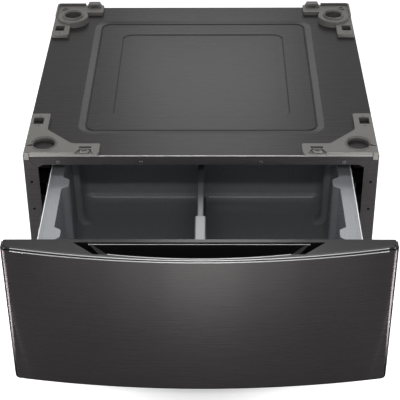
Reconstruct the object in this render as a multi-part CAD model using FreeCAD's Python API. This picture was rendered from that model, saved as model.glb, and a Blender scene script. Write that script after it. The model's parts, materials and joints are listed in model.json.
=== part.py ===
import FreeCAD, Part
import math
import os

# Laundry pedestal with one wide drawer that stands partly open.
# Millimetres, X to the right, Y to the back, Z up.
# The origin is on the floor, at the middle of the open pedestal's footprint.

# Cabinet
CABINET_WIDTH = 684.0
CABINET_DEPTH = 653.0
CABINET_HEIGHT = 300.0
FOOT_CLEARANCE = 36.0
SHEET = 1.0
BEND = 1.8
INNER_BEND_SHARE = 0.3
STILE_WIDTH = 28.0
SIDE_FLANGE = 18.0
RAIL_HEIGHT = 20.0
RAIL_END_DROP = 6.0
RAIL_END_RUN = 10.0
RAIL_DEPTH = 22.0
RAIL_LIP = 9.0
MITRE_GAP = 0.4
STILE_HOLE_RADIUS = 2.6
STILE_HOLE_INSET = 13.0
STILE_HOLE_DROPS = (60.0, 123.5)
BASE_RAIL_HEIGHT = 28.0
BASE_RAIL_DEPTH = 30.0
OVERRUN = 5.0
FIT_GAP = 0.2

# Pressed pattern of the top
BORDER_SIDE = 97.0
BORDER_FRONT = 82.0
BORDER_REAR = 72.0
BORDER_RADIUS = 34.0
BORDER_SLOPE = 13.0
FIELD_DROP = 1.6
GROOVE_WIDTH = 5.0
GROOVE_DEPTH = 1.6
STEP_MARGIN = 52.0
STEP_SLOPE = 3.0
STEP_DROP = 1.5

# Pressed beads of the back
BEAD_LENGTH_SHARE = 0.73
BEAD_WIDTH = 26.0
BEAD_SLOPE = 7.0
BEAD_DROP = 5.0
BEAD_SPREAD = 55.0
BEAD_ROUND_SHARE = 0.45

# Moulded corner brackets
BRACKET_EDGE = 2.0
BRACKET_THICKNESS = 8.0
BRACKET_ARM_END_RADIUS = 4.0
BRACKET_CORNER_RADIUS = 9.0
BRACKET_BLEND = 18.0
WELL_BEVEL = 3.0
FRONT_ARM_LENGTH = 147.0
FRONT_ARM_WIDTH = 33.0
FRONT_SIDE_ARM_WIDTH = 39.0
FRONT_WELL_RADIUS = 21.0
FRONT_WELL_IN = 38.0
FRONT_WELL_BACK = 33.0
FRONT_WALL = 17.0
FRONT_CHANNEL_WIDTH = 6.0
FRONT_CHANNEL_DEPTH = 2.5
WINDOW_LENGTH = 25.0
WINDOW_WIDTH = 20.0
WINDOW_IN = 18.0
FRONT_WINDOW_BACK = 119.0
FRONT_SLOT_LENGTH = 24.0
FRONT_SLOT_WIDTH = 6.0
FRONT_SLOT_IN = 119.0
FRONT_SLOT_BACK = 19.0
FRONT_RIM_WIDTH = 5.0
FRONT_RIM_HEIGHT = 2.0
CATCH_BASE = 36.0
CATCH_TIP = 21.0
CATCH_DEPTH = 13.0
CATCH_RECESS = 4.0
BUTTON_LENGTH = 18.0
BUTTON_WIDTH = 8.0
BUTTON_HOLE_LENGTH = 9.0
BUTTON_HOLE_WIDTH = 3.5
STADIUM_ROUND_SHARE = 0.95
PIP_RADIUS = 4.0
PIP_TOP_RADIUS = 2.5
PIP_HEIGHT = 1.5
PIP_SPACING = 18.0
LUG_WIDTH = 10.0
LUG_DROP = 8.0
LUG_THICKNESS = 1.6
REAR_EDGE = 4.0
REAR_ARM_LENGTH = 110.0
REAR_ARM_WIDTH = 43.0
REAR_SIDE_ARM_LENGTH = 157.0
REAR_SIDE_ARM_WIDTH = 40.0
REAR_WELL_RADIUS = 18.5
REAR_WELL_IN = 43.5
REAR_WELL_FORWARD = 72.0
RING_RADIUS = 34.0
RING_DRAFT = 2.0
RING_HEIGHT = 18.0
RING_SHOULDER = 14.0
COLLAR_RADIUS = 23.0
FENCE_LENGTH = 68.0
FENCE_WALL = 4.0
FENCE_HEIGHT = 5.0
REAR_WINDOW_FORWARD = 124.0
HUMP_BASE = 34.0
HUMP_TOP = 24.0
HUMP_DEPTH = 15.0
HUMP_HEIGHT = 9.0
HUMP_IN = 88.0
HUMP_SLOT_WIDTH = 15.0
HUMP_SLOT_HEIGHT = 4.0
BOSS_RADIUS = 7.0
BOSS_HEIGHT = 3.0
BOSS_IN = 22.0
BOSS_FORWARD = 27.0
PEG_RADIUS = 3.0
PEG_LENGTH = 6.0
PEG_IN = 26.0
FRONT_PEG_BACK = 92.0
FRONT_PEG_ACROSS = 78.0
FRONT_PEG_EDGE = 27.5
REAR_PEG_FORWARD = 147.0
REAR_PEG_ACROSS = 100.0
REAR_PEG_EDGE = 33.0

# Levelling feet and their gussets
GUSSET_REACH = 80.0
GUSSET_THICKNESS = 2.5
GUSSET_TIP = 26.0
GUSSET_BOSS_RADIUS = 10.0
GUSSET_BOSS_HEIGHT = 9.0
FOOT_INSET = 46.0
STUD_RADIUS = 5.0
STUD_TOP_SPARE = 24.0
RUNNING_GAP = 0.05
MOVING_GAP = 0.3
NUT_ACROSS_FLATS = 17.0
NUT_HEIGHT = 8.0
PAD_RADIUS = 20.0
PAD_TOP_RADIUS = 16.0
PAD_RIM = 4.0
PAD_HEIGHT = 11.0
PAD_HEX_ACROSS_FLATS = 22.0
PAD_FLOOR = 6.0

# Ball slides
SLIDE_LENGTH = 500.0
SLIDE_SETBACK = 6.0
SLIDE_HEIGHT = 45.0
SLIDE_THICKNESS = 12.7
SLIDE_DROP = 88.0
SLIDE_GAUGE = 1.2
SLIDE_LIP = 10.5
BALL_RADIUS = 1.8
BALLS_IN_ROW = 3
BALL_HOLE_GAP = 0.1
CAGE_GAUGE = 0.4
CAGE_GAP = 0.4
CAGE_FLANGE = 7.5
CAGE_STRIP = 0.6
CAGE_LENGTH = 250.0
CAGE_SETBACK = 120.0
MIDDLE_SHARE = 0.5
OUTER_CAGE_SHARE = 0.25
INNER_CAGE_SHARE = 0.75
STANDOFF_LENGTH = 50.0
STANDOFF_GAUGE = 1.5
STANDOFF_HALF_HEIGHT = 16.0
STANDOFF_FOOT = 13.0
STANDOFF_FRONT = 20.0
STANDOFF_END = 26.0

# Drawer travel and drawer front
OPEN_TRAVEL = 276.0
CLOSED_GAP = 3.5
FRONT_OVERHANG = 1.0
FRONT_RISE = 6.4
FRONT_BOTTOM_RISE = 3.0
FRONT_DEPTH_TOP = 62.0
FRONT_DEPTH_BOTTOM = 52.0
FRONT_EDGE_TOP = 25.0
FRONT_EDGE_BOTTOM = 22.0
FRONT_CORNER = 12.0
FRONT_FOOT_RADIUS = 5.0
ROUND_STEPS = 4
SKIN_REVEAL = 3.7
HEM_WIDTH = 2.5
HEM_DEPTH = 6.0
HEM_ROUND_SHARE = 0.45
CAP_DEPTH = 46.4
CAP_WALL = 2.5
CAP_EDGE_WIDTH = 4.0
CAP_EDGE_HEIGHT = 2.6
POCKET_REAR = 10.8
POCKET_REAR_SHARE = 0.555
POCKET_FRONT_SHARE = 0.4665
POCKET_LIP = 5.5
POCKET_BOW = 13.5
POCKET_STEP_DROP = 2.0
POCKET_STEP_SLOPE_SHARE = 0.27
POCKET_STEP_REAR = 8.5
POCKET_STEP_REAR_SHARE = 0.635
POCKET_STEP_FRONT_SHARE = 0.525
POCKET_RIDGE = 1.8
SCOOP_SLOPE_SHARE = 0.9
POCKET_DEPTH = 38.0
POCKET_DRAFT = 6.0
POCKET_END_SLOPE = 34.0
BACK_FLANGE = 14.0
BUMPER_RADIUS = 6.0
BUMPER_DROP = 92.0
BUMPER_RISE = 70.0

# Drawer bin, divider and side frames
BIN_LENGTH = 503.0
BIN_WALL = 2.5
BIN_DRAFT = 4.0
BIN_CORNER = 26.0
BIN_CLEARANCE = 50.0
BIN_FOOT = 22.0
BIN_FOOT_STEPS = 5
RIM_DROP = 45.0
RIM_THICKNESS = 3.0
RIM_WIDTH = 26.0
SLIDE_SPACE = 50.0
RIM_LIP = 9.0
RIM_LIP_WALL = 2.2
RIM_BEAD = 1.6
RIM_GROOVE_IN = 6.5
RIM_GROOVE_WIDTH = 1.6
RIM_GROOVE_DEPTH = 0.8
RIM_REAR = 9.0
PILASTER_END_GAP = 13.5
PILASTER_DEPTH = 13.0
PILASTER_BASE = 40.0
PILASTER_TIP = 24.0
PILASTER_ROUND = 9.0
PILASTER_ROOT = 5.0
DIVIDER_WALL = 5.0
DIVIDER_BEAD = 12.0
DIVIDER_BEAD_DEPTH = 10.0
DIVIDER_DROP = 62.0
DIVIDER_FOOT = 16.0
DIVIDER_FOOT_HEIGHT = 8.0
DIVIDER_POST_LENGTH = 165.0
DIVIDER_POST_WIDTH = 20.0
FRAME_GAUGE = 1.5
FRAME_FLANGE = 15.0
FRAME_LENGTH = 500.0
FRAME_BELOW_SLIDE = 4.0
TAB_REACH = 20.0
TAB_HEIGHT = 56.0

# Screws
SCREW_RADIUS = 2.0
SCREW_LENGTH = 7.0
BRACKET_SCREW_LENGTH = 12.0
SCREW_HEAD_RADIUS = 4.0
SCREW_HEAD_HEIGHT = 1.6
RAIL_SCREW_SHARES = (0.336, 0.8026)
RAIL_SCREW_DROP = 14.0
BACK_SCREW_EDGE = 9.0
BACK_SCREW_DROP = 90.0
BACK_SCREW_RISE = 60.0
TAB_SCREW_PITCH = 32.0
RUNNER_SCREW_FRONT = 60.0
RUNNER_SCREW_REAR = 400.0

# Planes and places that follow from the sizes above
HALF_WIDTH = CABINET_WIDTH / 2
FRONT_Y = (OPEN_TRAVEL + CLOSED_GAP + FRONT_DEPTH_TOP - CABINET_DEPTH - SCREW_HEAD_HEIGHT) / 2
REAR_Y = FRONT_Y + CABINET_DEPTH
BOTTOM_Z = FOOT_CLEARANCE
TOP_Z = BOTTOM_Z + CABINET_HEIGHT
SIDE_REAR_Y = REAR_Y - 2 * SHEET
RAIL_HALF = HALF_WIDTH - SIDE_FLANGE
INNER_HALF = HALF_WIDTH - SHEET
GUSSET_Z = BOTTOM_Z + 2 * SHEET
NUT_Z = GUSSET_Z - NUT_HEIGHT
FOOT_X = HALF_WIDTH - FOOT_INSET
FOOT_FRONT_Y = FRONT_Y + FOOT_INSET
FOOT_REAR_Y = SIDE_REAR_Y - SHEET - FOOT_INSET
RIM_HALF_WIDTH = HALF_WIDTH - SLIDE_SPACE
BIN_HALF_WIDTH = RIM_HALF_WIDTH - RIM_WIDTH

SLIDE_Z = TOP_Z - SLIDE_DROP
SLIDE_Y = FRONT_Y + SLIDE_SETBACK
STANDOFF_REAR = SLIDE_SETBACK + SLIDE_LENGTH - STANDOFF_LENGTH - STANDOFF_END
FRAME_X = RIM_HALF_WIDTH - RIM_LIP_WALL - MOVING_GAP
SLIDE_X = FRAME_X + SLIDE_THICKNESS
OUTER_HALF = SLIDE_HEIGHT / 2
OUTER_BALL = OUTER_HALF - SLIDE_GAUGE - MOVING_GAP - BALL_RADIUS
MIDDLE_HALF = OUTER_BALL - BALL_RADIUS - MOVING_GAP
INNER_BALL = MIDDLE_HALF - SLIDE_GAUGE - MOVING_GAP - BALL_RADIUS
INNER_RUNNER_HALF = INNER_BALL - BALL_RADIUS - MOVING_GAP
OUTER_CAGE_IN = SLIDE_GAUGE + CAGE_GAP
MIDDLE_IN = OUTER_CAGE_IN + CAGE_GAUGE + CAGE_GAP
INNER_CAGE_IN = MIDDLE_IN + SLIDE_GAUGE + CAGE_GAP
RUNNER_IN = INNER_CAGE_IN + CAGE_GAUGE + CAGE_GAP

DRAWER_Y = FRONT_Y - CLOSED_GAP - OPEN_TRAVEL
FRONT_TOP_Z = TOP_Z + FRONT_RISE
FRONT_BOTTOM_Z = BOTTOM_Z + FRONT_BOTTOM_RISE
SKIN_TOP_Z = FRONT_TOP_Z - SKIN_REVEAL
FRONT_HEIGHT = FRONT_TOP_Z - FRONT_BOTTOM_Z
FRONT_HALF = HALF_WIDTH + FRONT_OVERHANG
CAP_BOTTOM_Z = FRONT_TOP_Z - CAP_DEPTH
POCKET_MIDDLE_Y = DRAWER_Y - FRONT_DEPTH_TOP + POCKET_LIP
POCKET_END_Y = POCKET_MIDDLE_Y + POCKET_BOW
BIN_FRONT_Y = DRAWER_Y + BIN_WALL
BIN_REAR_Y = BIN_FRONT_Y + BIN_LENGTH
BIN_MIDDLE_Y = BIN_FRONT_Y + BIN_LENGTH / 2
PILASTER_END = BIN_CORNER + BIN_FOOT + BIN_DRAFT + PILASTER_END_GAP
PILASTER_PITCH = BIN_LENGTH / 2 - PILASTER_END - PILASTER_BASE / 2
RIM_Z = TOP_Z - RIM_DROP
FLOOR_Z = BOTTOM_Z + BIN_CLEARANCE
FRAME_TOP_Z = RIM_Z - RIM_THICKNESS
FRAME_BOTTOM_Z = SLIDE_Z - OUTER_HALF - FRAME_BELOW_SLIDE

X_AXIS = FreeCAD.Vector(1, 0, 0)
Y_AXIS = FreeCAD.Vector(0, 1, 0)
Z_AXIS = FreeCAD.Vector(0, 0, 1)
ORIGIN = FreeCAD.Vector(0, 0, 0)


# Shared shapes

def point(x, y, z):
    return FreeCAD.Vector(x, y, z)


def block(x_range, y_range, z_range):
    lows = [min(pair) for pair in (x_range, y_range, z_range)]
    highs = [max(pair) for pair in (x_range, y_range, z_range)]
    lengths = [high - low for low, high in zip(lows, highs)]
    return Part.makeBox(*lengths, point(*lows))


def rod(radius, base, axis, length):
    return Part.makeCylinder(radius, length, base, axis)


def mirrored(shape):
    return shape.mirror(ORIGIN, X_AXIS)


def fused(first, *others):
    return first.fuse(list(others)).removeSplitter()


def rounded_outline(corners, radii):
    """Closed wire through the corners, each one turned on an arc of its own radius."""
    count = len(corners)
    turns = []
    for index, corner in enumerate(corners):
        if radii[index] == 0:
            turns.append((corner, corner, corner))
            continue
        before = corners[index - 1] - corner
        after = corners[(index + 1) % count] - corner
        before.normalize()
        after.normalize()
        half_angle = before.getAngle(after) / 2
        bisector = before + after
        bisector.normalize()
        reach = radii[index] / math.tan(half_angle)
        crown = corner + bisector * (radii[index] / math.sin(half_angle) - radii[index])
        turns.append((corner + before * reach, crown, corner + after * reach))
    edges = []
    for index, (start, crown, end) in enumerate(turns):
        if radii[index] > 0:
            edges.append(Part.Arc(start, crown, end).toShape())
        following = turns[(index + 1) % count][0]
        edges.append(Part.LineSegment(end, following).toShape())
    return Part.Wire(edges)


def prism(corners, radii, extrusion):
    return Part.Face(rounded_outline(corners, radii)).extrude(extrusion)


def rectangle(x_range, y_range, radius, z):
    corners = [point(x_range[0], y_range[0], z), point(x_range[1], y_range[0], z),
               point(x_range[1], y_range[1], z), point(x_range[0], y_range[1], z)]
    return rounded_outline(corners, [radius] * len(corners))


def inset(span, margin):
    return (span[0] + margin, span[1] - margin)


def tapered_well(x_range, y_range, radius, z, slope, drop):
    """Rounded rectangle at z that narrows by the slope as it goes down by the drop."""
    mouth = rectangle(x_range, y_range, radius, z)
    bed = rectangle(inset(x_range, slope), inset(y_range, slope), radius - slope, z - drop)
    return Part.makeLoft([mouth, bed], True, True)


def pressed(sheet, well, gauge):
    """Sheet with a well pressed into it, at the sheet's own thickness."""
    underside = well.copy()
    underside.translate(point(0, 0, -gauge))
    return fused(sheet, underside).cut(well)


def channel_section(web_in, tip_in, half_height, gauge):
    """Corners and bend radii of a C section: depth along X, height along Z."""
    inward = gauge if tip_in > web_in else -gauge
    corners = [point(web_in, 0, -half_height), point(tip_in, 0, -half_height),
               point(tip_in, 0, gauge - half_height), point(web_in + inward, 0, gauge - half_height),
               point(web_in + inward, 0, half_height - gauge), point(tip_in, 0, half_height - gauge),
               point(tip_in, 0, half_height), point(web_in, 0, half_height)]
    inner_bend = gauge * INNER_BEND_SHARE
    bends = [gauge, 0, 0, inner_bend, inner_bend, 0, 0, gauge]
    return corners, bends


def quarter_round(width, height, steps):
    """Rise from the flat and inset from the wall of the points along a quarter round, flat end first."""
    turns = [math.pi / 2 * step / steps for step in range(steps + 1)]
    return [(height * (1 - math.cos(turn)), width * (1 - math.sin(turn))) for turn in turns]


def hexagon(across_flats, z):
    radius = across_flats / math.sqrt(3)
    turn = math.pi / 3
    corners = [point(radius * math.cos(turn * side), radius * math.sin(turn * side), z) for side in range(6)]
    return Part.Face(Part.makePolygon(corners + corners[:1]))


def screw(base, axis, length):
    """Pan head screw whose head sits on the base point, with the shank going in along the axis."""
    half_height = SCREW_HEAD_HEIGHT / 2
    flange = rod(SCREW_HEAD_RADIUS, base, axis * -1, half_height)
    crown = Part.makeCone(SCREW_HEAD_RADIUS, SCREW_HEAD_RADIUS - half_height, half_height,
                          base - axis * half_height, axis * -1)
    return fused(flange, crown, rod(SCREW_RADIUS, base, axis, length))


def short_screws(places, axis):
    return Part.makeCompound([screw(place, axis, SCREW_LENGTH) for place in places])


def screw_hole(base, axis, length):
    start = base - axis * OVERRUN
    return rod(SCREW_RADIUS + FIT_GAP, start, axis, length + 2 * OVERRUN)


def both_sides(places):
    return places + [point(-place.x, place.y, place.z) for place in places]


# Places of screws

def rail_screw_places():
    return both_sides([point(HALF_WIDTH * share, FRONT_Y, TOP_Z - RAIL_SCREW_DROP)
                       for share in RAIL_SCREW_SHARES])


def top_rear_screw_places():
    return both_sides([point(HALF_WIDTH * share, REAR_Y, TOP_Z - RAIL_SCREW_DROP)
                       for share in RAIL_SCREW_SHARES])


def side_rear_screw_places():
    across = HALF_WIDTH - BACK_SCREW_EDGE
    return both_sides([point(across, REAR_Y - SHEET, TOP_Z - BACK_SCREW_DROP),
                       point(across, REAR_Y - SHEET, BOTTOM_Z + BACK_SCREW_RISE)])


def bracket_screw_places():
    return both_sides([point(HALF_WIDTH - BOSS_IN, REAR_Y - BOSS_FORWARD, TOP_Z + BRACKET_THICKNESS)])


def tab_screw_places():
    across = FRAME_X + TAB_REACH / 2
    return both_sides([point(across, DRAWER_Y + FRAME_GAUGE, SLIDE_Z + shift)
                       for shift in (-TAB_SCREW_PITCH / 2, TAB_SCREW_PITCH / 2)])


def runner_screw_places():
    start = SLIDE_Y - OPEN_TRAVEL
    return both_sides([point(FRAME_X - FRAME_GAUGE, start + along, SLIDE_Z)
                       for along in (RUNNER_SCREW_FRONT, RUNNER_SCREW_REAR)])


def drilled(shape, places, axis, length=SCREW_LENGTH):
    return shape.cut([screw_hole(place, axis, length) for place in places])


def outward(place):
    """Direction along X from the middle of the drawer to the place."""
    return X_AXIS * math.copysign(1, place.x)


# Cabinet

def peg_places():
    front = [point(HALF_WIDTH - PEG_IN, FRONT_Y + FRONT_PEG_BACK, TOP_Z),
             point(HALF_WIDTH - FRONT_PEG_ACROSS, FRONT_Y + FRONT_PEG_EDGE, TOP_Z)]
    rear = [point(HALF_WIDTH - PEG_IN, REAR_Y - REAR_PEG_FORWARD, TOP_Z),
            point(HALF_WIDTH - REAR_PEG_ACROSS, REAR_Y - REAR_PEG_EDGE, TOP_Z)]
    return front, rear


def top_panel():
    """Sheet top: pressed border, groove and inner step, folded front and rear edges, mitred corners."""
    across = (-HALF_WIDTH, HALF_WIDTH)
    plate = block(across, (FRONT_Y, REAR_Y), (TOP_Z - SHEET, TOP_Z))
    rail_z = TOP_Z - RAIL_HEIGHT
    stile_x = HALF_WIDTH - STILE_WIDTH
    half = [(HALF_WIDTH, TOP_Z), (stile_x, rail_z - RAIL_END_DROP), (stile_x - RAIL_END_RUN, rail_z)]
    outline = [point(x, FRONT_Y, z) for x, z in half] + [point(-x, FRONT_Y, z) for x, z in reversed(half)]
    front_edge = prism(outline, [0] * len(outline), Y_AXIS * SHEET)
    rear_edge = block(across, (REAR_Y - SHEET, REAR_Y), (rail_z, TOP_Z))
    panel = fused(plate, front_edge, rear_edge)
    folds = [edge for edge in panel.Edges
             if abs(edge.CenterOfMass.z - TOP_Z) < FIT_GAP and abs(edge.CenterOfMass.x) < FIT_GAP]
    panel = panel.makeFillet(BEND, folds)

    border_x = inset(across, BORDER_SIDE)
    border_y = (FRONT_Y + BORDER_FRONT, REAR_Y - BORDER_REAR)
    border = tapered_well(border_x, border_y, BORDER_RADIUS, TOP_Z, BORDER_SLOPE, FIELD_DROP)
    panel = pressed(panel, border, SHEET)

    field_z = TOP_Z - FIELD_DROP
    field_x = inset(border_x, BORDER_SLOPE)
    field_y = inset(border_y, BORDER_SLOPE)
    field_radius = BORDER_RADIUS - BORDER_SLOPE
    half_groove = GROOVE_WIDTH / 2
    trough = tapered_well(field_x, field_y, field_radius, field_z, half_groove, GROOVE_DEPTH)
    island_top = rectangle(inset(field_x, GROOVE_WIDTH), inset(field_y, GROOVE_WIDTH),
                           field_radius - GROOVE_WIDTH, field_z)
    island_foot = rectangle(inset(field_x, half_groove), inset(field_y, half_groove),
                            field_radius - half_groove, field_z - GROOVE_DEPTH)
    groove = trough.cut(Part.makeLoft([island_top, island_foot], True, True))
    panel = pressed(panel, groove, SHEET)

    step_x = inset(field_x, STEP_MARGIN)
    step_y = inset(field_y, STEP_MARGIN)
    panel = pressed(panel, tapered_well(step_x, step_y, field_radius, field_z, STEP_SLOPE, STEP_DROP), SHEET)

    panel = drilled(panel, rail_screw_places(), Y_AXIS)
    panel = drilled(panel, top_rear_screw_places(), Y_AXIS * -1)
    panel = drilled(panel, bracket_screw_places(), Z_AXIS * -1, BRACKET_SCREW_LENGTH)
    front_pegs, rear_pegs = peg_places()
    return panel.cut([rod(PEG_RADIUS + FIT_GAP, place - Z_AXIS * OVERRUN, Z_AXIS, 2 * OVERRUN)
                      for place in both_sides(front_pegs + rear_pegs)])


def side_panel():
    """Right side tray: web, front stile, rear flange and the flanges at top and bottom."""
    high_z = TOP_Z - SHEET
    stile_x = HALF_WIDTH - STILE_WIDTH
    flange_x = HALF_WIDTH - SIDE_FLANGE
    section = [point(stile_x, FRONT_Y, BOTTOM_Z), point(HALF_WIDTH, FRONT_Y, BOTTOM_Z),
               point(HALF_WIDTH, SIDE_REAR_Y, BOTTOM_Z), point(flange_x, SIDE_REAR_Y, BOTTOM_Z),
               point(flange_x, SIDE_REAR_Y - SHEET, BOTTOM_Z), point(INNER_HALF, SIDE_REAR_Y - SHEET, BOTTOM_Z),
               point(INNER_HALF, FRONT_Y + SHEET, BOTTOM_Z), point(stile_x, FRONT_Y + SHEET, BOTTOM_Z)]
    tray = prism(section, [0, BEND, BEND, 0, 0, 0, 0, 0], Z_AXIS * (high_z - BOTTOM_Z))
    flange_y = (FRONT_Y + SHEET, SIDE_REAR_Y - SHEET)
    foot_flange = block((flange_x, INNER_HALF), flange_y, (BOTTOM_Z, BOTTOM_Z + SHEET))
    top_flange = block((flange_x, INNER_HALF), flange_y, (high_z - SHEET, high_z))
    tray = fused(tray, foot_flange, top_flange)

    mitre_z = TOP_Z - RAIL_HEIGHT - RAIL_END_DROP
    mitre = [point(HALF_WIDTH + MITRE_GAP, FRONT_Y - OVERRUN, TOP_Z - MITRE_GAP),
             point(stile_x - OVERRUN, FRONT_Y - OVERRUN, mitre_z - MITRE_GAP
                   - OVERRUN * (TOP_Z - mitre_z) / STILE_WIDTH),
             point(stile_x - OVERRUN, FRONT_Y - OVERRUN, TOP_Z + OVERRUN),
             point(HALF_WIDTH + MITRE_GAP, FRONT_Y - OVERRUN, TOP_Z + OVERRUN)]
    tray = tray.cut(prism(mitre, [0] * len(mitre), Y_AXIS * (OVERRUN + SHEET)))
    for drop in STILE_HOLE_DROPS:
        place = point(HALF_WIDTH - STILE_HOLE_INSET, FRONT_Y - OVERRUN, TOP_Z - drop)
        tray = tray.cut(rod(STILE_HOLE_RADIUS, place, Y_AXIS, 2 * OVERRUN))
    return drilled(tray, side_rear_screw_places(), Y_AXIS * -1)


def back_panel():
    """Back sheet with two pressed beads, held under the rear fold of the top."""
    height = CABINET_HEIGHT - SHEET
    sheet = block((-HALF_WIDTH, HALF_WIDTH), (-height / 2, height / 2), (-SHEET, 0))
    half_bead = HALF_WIDTH * BEAD_LENGTH_SHARE
    for centre in (-BEAD_SPREAD, BEAD_SPREAD):
        bead = tapered_well((-half_bead, half_bead),
                            (centre - BEAD_WIDTH / 2, centre + BEAD_WIDTH / 2),
                            BEAD_WIDTH * BEAD_ROUND_SHARE, 0, BEAD_SLOPE, BEAD_DROP)
        sheet = pressed(sheet, bead, SHEET)
    sheet.rotate(ORIGIN, X_AXIS, -90)
    sheet.translate(point(0, REAR_Y - SHEET, BOTTOM_Z + height / 2))
    sheet = drilled(sheet, top_rear_screw_places(), Y_AXIS * -1)
    return drilled(sheet, side_rear_screw_places(), Y_AXIS * -1)


def front_top_rail():
    """Channel behind the folded front edge of the top, with a lip turned up on its lower flange."""
    web_y = FRONT_Y + SHEET
    tip_y = FRONT_Y + RAIL_DEPTH
    low_z = TOP_Z - RAIL_HEIGHT
    high_z = TOP_Z - SHEET
    section = [(web_y, low_z), (tip_y, low_z), (tip_y, low_z + RAIL_LIP), (tip_y - SHEET, low_z + RAIL_LIP),
               (tip_y - SHEET, low_z + SHEET), (web_y + SHEET, low_z + SHEET), (web_y + SHEET, high_z - SHEET),
               (tip_y, high_z - SHEET), (tip_y, high_z), (web_y, high_z)]
    bends = [SHEET, SHEET, 0, 0, 0, 0, 0, 0, 0, SHEET]
    rail = prism([point(-RAIL_HALF, y, z) for y, z in section], bends, X_AXIS * (2 * RAIL_HALF))
    return drilled(rail, rail_screw_places(), Y_AXIS)


def base_rail(web_y, tip_y):
    """Plain channel across the bottom of the cabinet, from one side panel to the other."""
    low_z = BOTTOM_Z + SHEET
    high_z = low_z + BASE_RAIL_HEIGHT
    inward = math.copysign(SHEET, tip_y - web_y)
    section = [(web_y, low_z), (tip_y, low_z), (tip_y, low_z + SHEET), (web_y + inward, low_z + SHEET),
               (web_y + inward, high_z - SHEET), (tip_y, high_z - SHEET), (tip_y, high_z), (web_y, high_z)]
    bends = [SHEET, 0, 0, 0, 0, 0, 0, SHEET]
    return prism([point(-INNER_HALF, y, z) for y, z in section], bends, X_AXIS * (2 * INNER_HALF))


def front_base_rail():
    web_y = FRONT_Y + SHEET
    return base_rail(web_y, web_y + BASE_RAIL_DEPTH)


def rear_base_rail():
    web_y = SIDE_REAR_Y - SHEET
    return base_rail(web_y, web_y - BASE_RAIL_DEPTH)


# Corner brackets

def pip(base):
    return Part.makeCone(PIP_RADIUS, PIP_TOP_RADIUS, PIP_HEIGHT, base, Z_AXIS)


def stadium(base, length, width, height):
    """Upright block with round ends, long along X."""
    half_length = length / 2
    half_width = width / 2
    corners = [base + point(x, y, 0) for x, y in ((-half_length, -half_width), (half_length, -half_width),
                                                  (half_length, half_width), (-half_length, half_width))]
    end = half_width * STADIUM_ROUND_SHARE
    return prism(corners, [end] * len(corners), Z_AXIS * height)


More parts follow.
